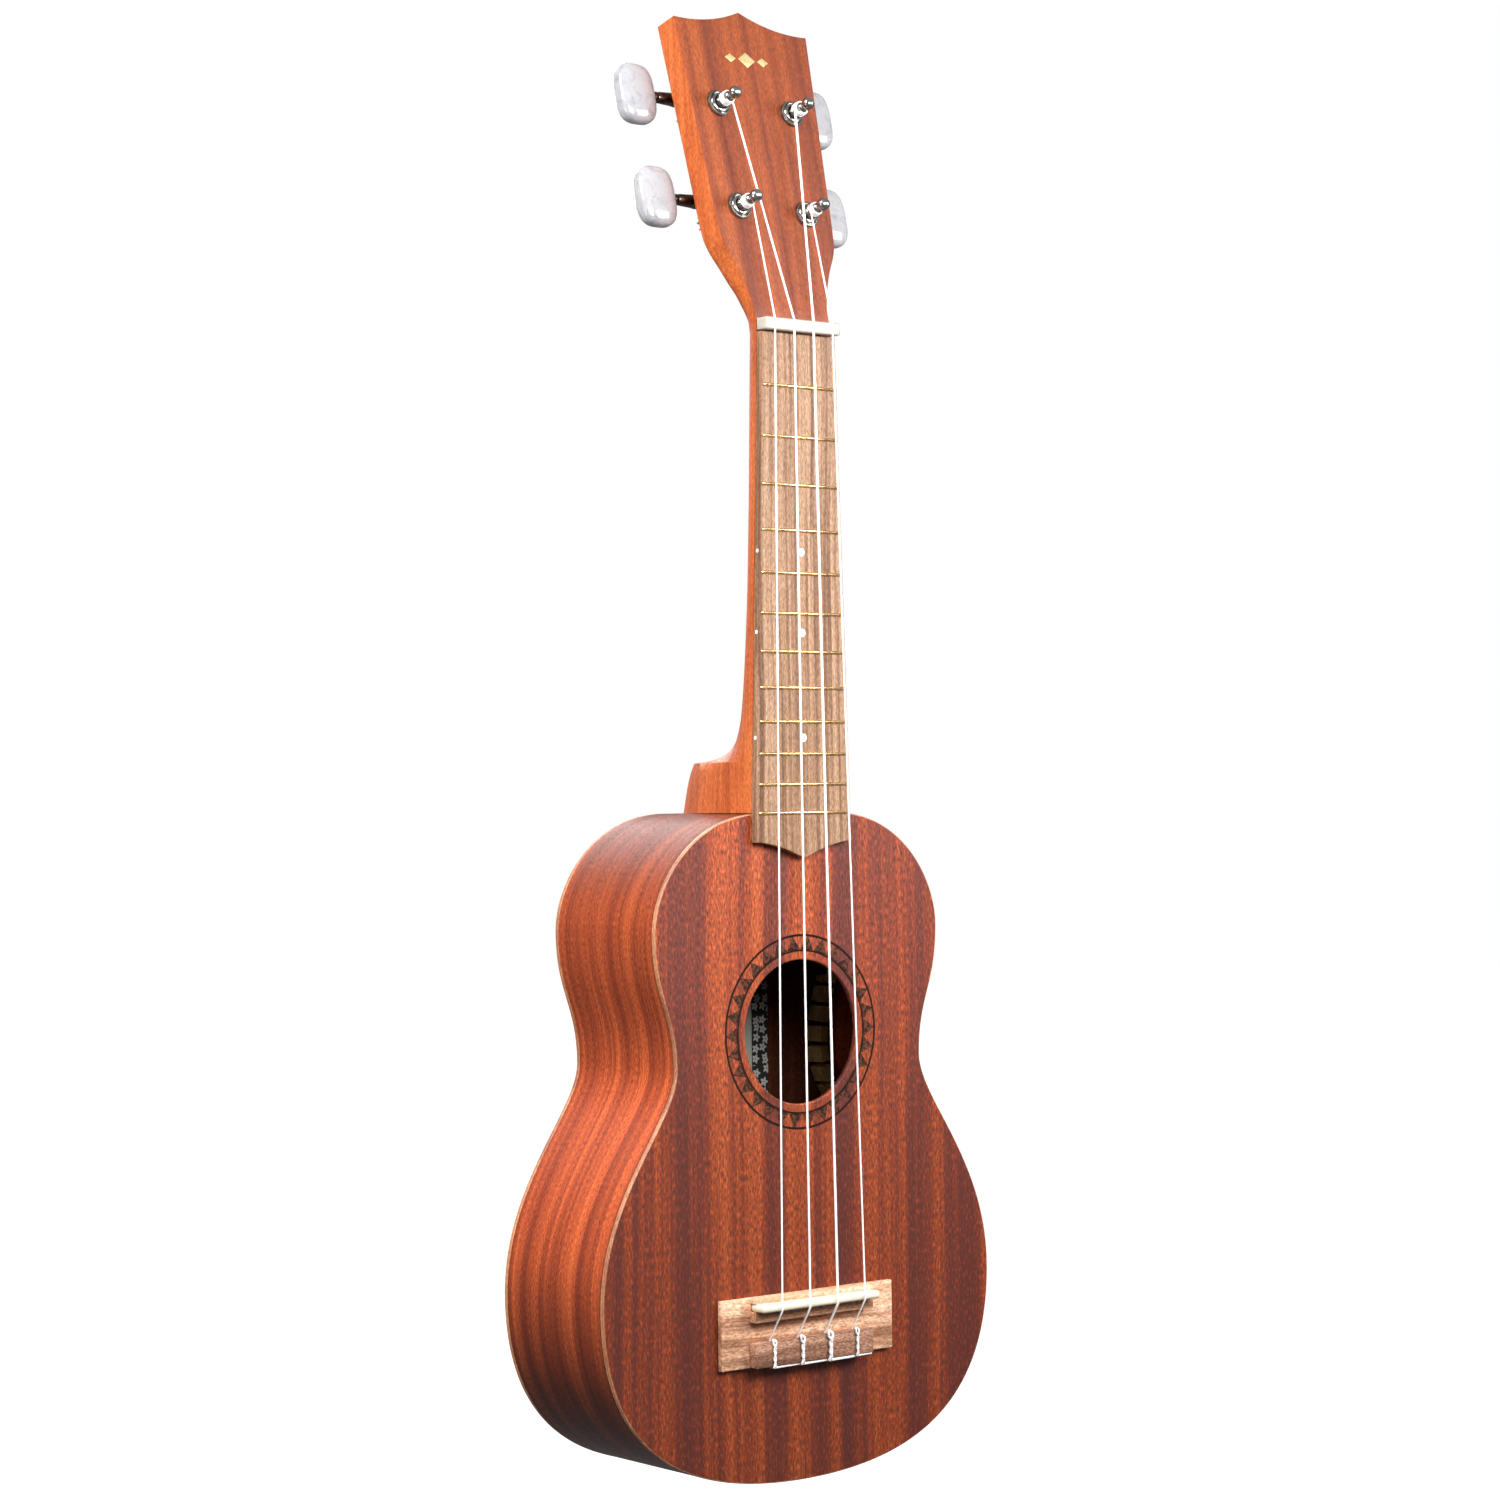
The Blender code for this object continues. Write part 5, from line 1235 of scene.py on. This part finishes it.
for name, side, place, worm_place in machines:
    facing = Matrix.Translation(worm_place) @ Matrix.Rotation(math.pi if side < 0 else 0, 4, "Z")
    gear_place = Matrix.Translation((0, worm_depth, 0)) @ forward_axis
    screw_places = [Matrix.Translation((0, plate_front + plate_thickness, z)) @ backwards
                    @ Matrix.Rotation(spin, 4, "Z")
                    for z, spin in ((plate_low + 2.5 * mm, 0.4), (plate_top - 2.5 * mm, 1.1))]
    gear_screw = Matrix.Translation((0, gear_front + gear_thickness,
                                     0)) @ backwards @ Matrix.Rotation(0.2, 4, "Z")
    kit = (("post", post_mesh, forward_axis, nickel, "_post", "tuner_nickel"),
           ("bushing", bushing_mesh, forward_axis, nickel, None, "tuner_nickel"),
           ("gear", gear_mesh, gear_place, gear_brass, "_post", "gear_brass"),
           ("worm_shaft", worm_mesh, facing, black_nickel, "_button", "tuner_dark"),
           ("button", button_mesh, facing, pearl, "_button", "tuner_pearl"),
           ("tuner_plate", plate_mesh, Matrix.Identity(4), black_nickel, None, "tuner_dark"))
    for node, mesh, local, finish, body, slot in kit:
        copy = mesh.copy()
        copy.transform(place @ local)
        rides_on = name + body if body else "instrument"
        show("machine_%s_%s" % (node, name), copy, finish, rides_on, slot, [node + "_" + name])
    screws = []
    for local in screw_places:
        copy = screw_mesh.copy()
        copy.transform(place @ local)
        screws.append(copy)
    show("plate_screws_" + name, joined(screws), black_nickel, slot="tuner_dark")
    copy = screw_mesh.copy()
    copy.transform(place @ gear_screw)
    show("gear_screw_" + name, copy, nickel, body=name + "_post", slot="tuner_nickel")

# ---- strings -------------------------------------------------------------------------------
# Translucent white nylon. Each string is looped through the tie block and twisted round
# itself, runs over saddle and nut, and is wound on its post.
nylon, flow, shader = new_finish("white_nylon", Roughness=0.3, Subsurface_Weight=0.2,
                                 Subsurface_Radius=(0.001, 0.001, 0.001), Subsurface_Scale=1.0)
place = flow.place()
clouds = flow.noise(place, 900.0, 2.0)
connect(shader, Base_Color=clouds.ramp(((0.3, (0.90, 0.89, 0.87)), (0.7, (0.97, 0.96, 0.94)))),
        Roughness=0.25 + clouds * 0.15)


def drawn_wire(routes, radius, kind="POLY", sides=3):
    """Round nylon along one or more routes, with closed ends."""
    curve = bpy.data.curves.new("wire", "CURVE")
    curve.dimensions = "3D"
    curve.bevel_depth = radius
    curve.bevel_resolution = sides
    curve.use_fill_caps = True
    for route in routes:
        spline = add_path(curve, route, kind)
        if kind == "NURBS":
            spline.use_endpoint_u = True
            spline.order_u = 3
            spline.resolution_u = 6
    return plain_mesh(placed("wire", curve))


seat, winding_foot, winding_rise = 5.2 * mm, 3.9 * mm, 2.7 * mm
for number, (share, radius) in enumerate(zip(string_sides, string_radii), 1):
    x_saddle, x_nut = share * saddle_spacing, share * nut_spacing
    sign = math.copysign(1, share)
    name, side, place, _ = next(m for m in machines if m[1] == sign
                                and m[0].endswith("lower" if abs(share) > 1 else "upper"))
    x_post = -sign * (post_waist + radius)
    post_point = place @ Vector((x_post, -seat, 0))
    top = bar_top - radius - 0.05 * mm
    block_front, block_back = bridge_low.z + tie_bar, bridge_low.z
    leaves = Vector((x_saddle, tie_hole_y, block_front + 0.4 * mm))
    run = [(x_saddle, tie_hole_y, block_back - radius), (x_saddle, tie_hole_y, block_front), leaves,
           (x_saddle, saddle_string_y, saddle_low.z + 0.4 * mm),
           (x_saddle, saddle_string_y - 0.1 * mm, saddle_middle),
           (x_saddle, saddle_string_y, saddle_high.z - 0.4 * mm), (x_nut, nut_string_y, 0.3 * mm),
           (x_nut, nut_string_y, nut_high.z - 0.3 * mm), post_point]
    wires = [drawn_wire([run], radius)]
    # The tie: round the block's lower corner, over its top, under the string, and back.
    first = []
    second = []
    length = block_front - block_back
    for step in range(25):
        t = step / 24
        z = block_back + 0.2 * mm + (length - 0.2 * mm) * t
        twist = 2 * math.pi * 1.6 * t
        spread = radius * (1.0 + 0.9 * max(0.0, (t - 0.62) / 0.38) * 1.6)
        offset = Vector((math.cos(twist) * spread, -abs(math.sin(twist)) * radius * 0.9, 0))
        first.append(Vector((x_saddle, top, z)) + offset)
        second.append(Vector((x_saddle, top, z))
                      + Vector((-offset.x, offset.y * 0.2 - radius * 0.3, 0)))
    start = [(x_saddle, tie_hole_y, block_back - radius * 0.2),
             (x_saddle, tie_hole_y - 0.3 * mm, block_back - radius * 1.3),
             (x_saddle + radius, top + 1.6 * mm, block_back - radius * 1.5),
             (first[0].x, top + 0.3 * mm, block_back - radius)]
    crown = [Vector((first[-1].x, top + 0.25 * mm, block_front + radius * 1.2)),
             Vector((x_saddle, top + 1.0 * mm, block_front + radius * 2.6)),
             Vector((second[-1].x, top + 0.25 * mm, block_front + radius * 1.2))]
    tail = x_saddle + (saddle_spacing if number < 4 else 0.6 * saddle_spacing)
    tail_end = [(second[0].x - radius, top + 0.2 * mm, block_back - radius),
                (x_saddle + 2.2 * mm, top + 1.1 * mm, block_back - radius * 1.1),
                (tail, top + 1.3 * mm, block_back - radius * 1.1)]
    tie = start + first + crown + list(reversed(second)) + tail_end
    wires.append(drawn_wire([tie], radius * 1.1, "NURBS"))
    show("string_%d_run" % number, joined(wires), nylon, slot="string_nylon",
         stands_for=["string_%d" % number])

    turns = winding_rise / (radius * 2.1)
    rule = Rule("post_winding", Turns=turns, Radius=post_waist + radius, Rise=winding_rise,
                Thickness=radius)
    coil = rule.node("CurveSpiral", Resolution=28, Rotations=rule.size("Turns"),
                     Start_Radius=rule.size("Radius"), End_Radius=rule.size("Radius"),
                     Height=rule.size("Rise"))
    round_wire = rule.node("CurvePrimitiveCircle", Resolution=10, Radius=rule.size("Thickness"))
    coil = rule.node("CurveToMesh", Curve=coil, Profile_Curve=round_wire, Fill_Caps=True)
    winding = rule.carry_out(coil, nylon)
    start_turn = math.pi if sign > 0 else 0
    winding.transform(place @ forward_axis @ Matrix.Translation((0, 0, winding_foot))
                      @ Matrix.Rotation(start_turn, 4, "Z"))
    show("winding_" + name, winding, nylon, body=name + "_post", slot="string_nylon")

# ---- headstock ornament --------------------------------------------------------------------
# A plain motif of three lozenges, cut from pale gold foil. They lie on the headstock's face
# near its peak, under the varnish.
foil, flow, shader = new_finish("pale_gold_foil", Metallic=0.35, Roughness=0.42)
place = flow.place()
grain = flow.noise(place, 1500.0, 2.0)
connect(shader, Base_Color=grain.ramp(((0.3, (0.46, 0.33, 0.13)), (0.7, (0.62, 0.49, 0.25)))))
motif_along = 102 * mm
foil_pieces = []
for x, half_wide, half_high in ((-7.6, 2.6, 1.7), (0.0, 4.0, 3.0), (7.6, 2.6, 1.7)):
    loop = [(x * mm + half_wide * mm * c, motif_along + half_high * mm * s)
            for c, s in ((1, 0), (0, 1), (-1, 0), (0, -1))]
    foil_pieces.append(board_mesh([loop], -0.05 * mm, 0.03 * mm, 0.01 * mm,
                                  head_frame @ upright_board))
show("foil_lozenges", joined(foil_pieces), foil, slot="gear_brass")
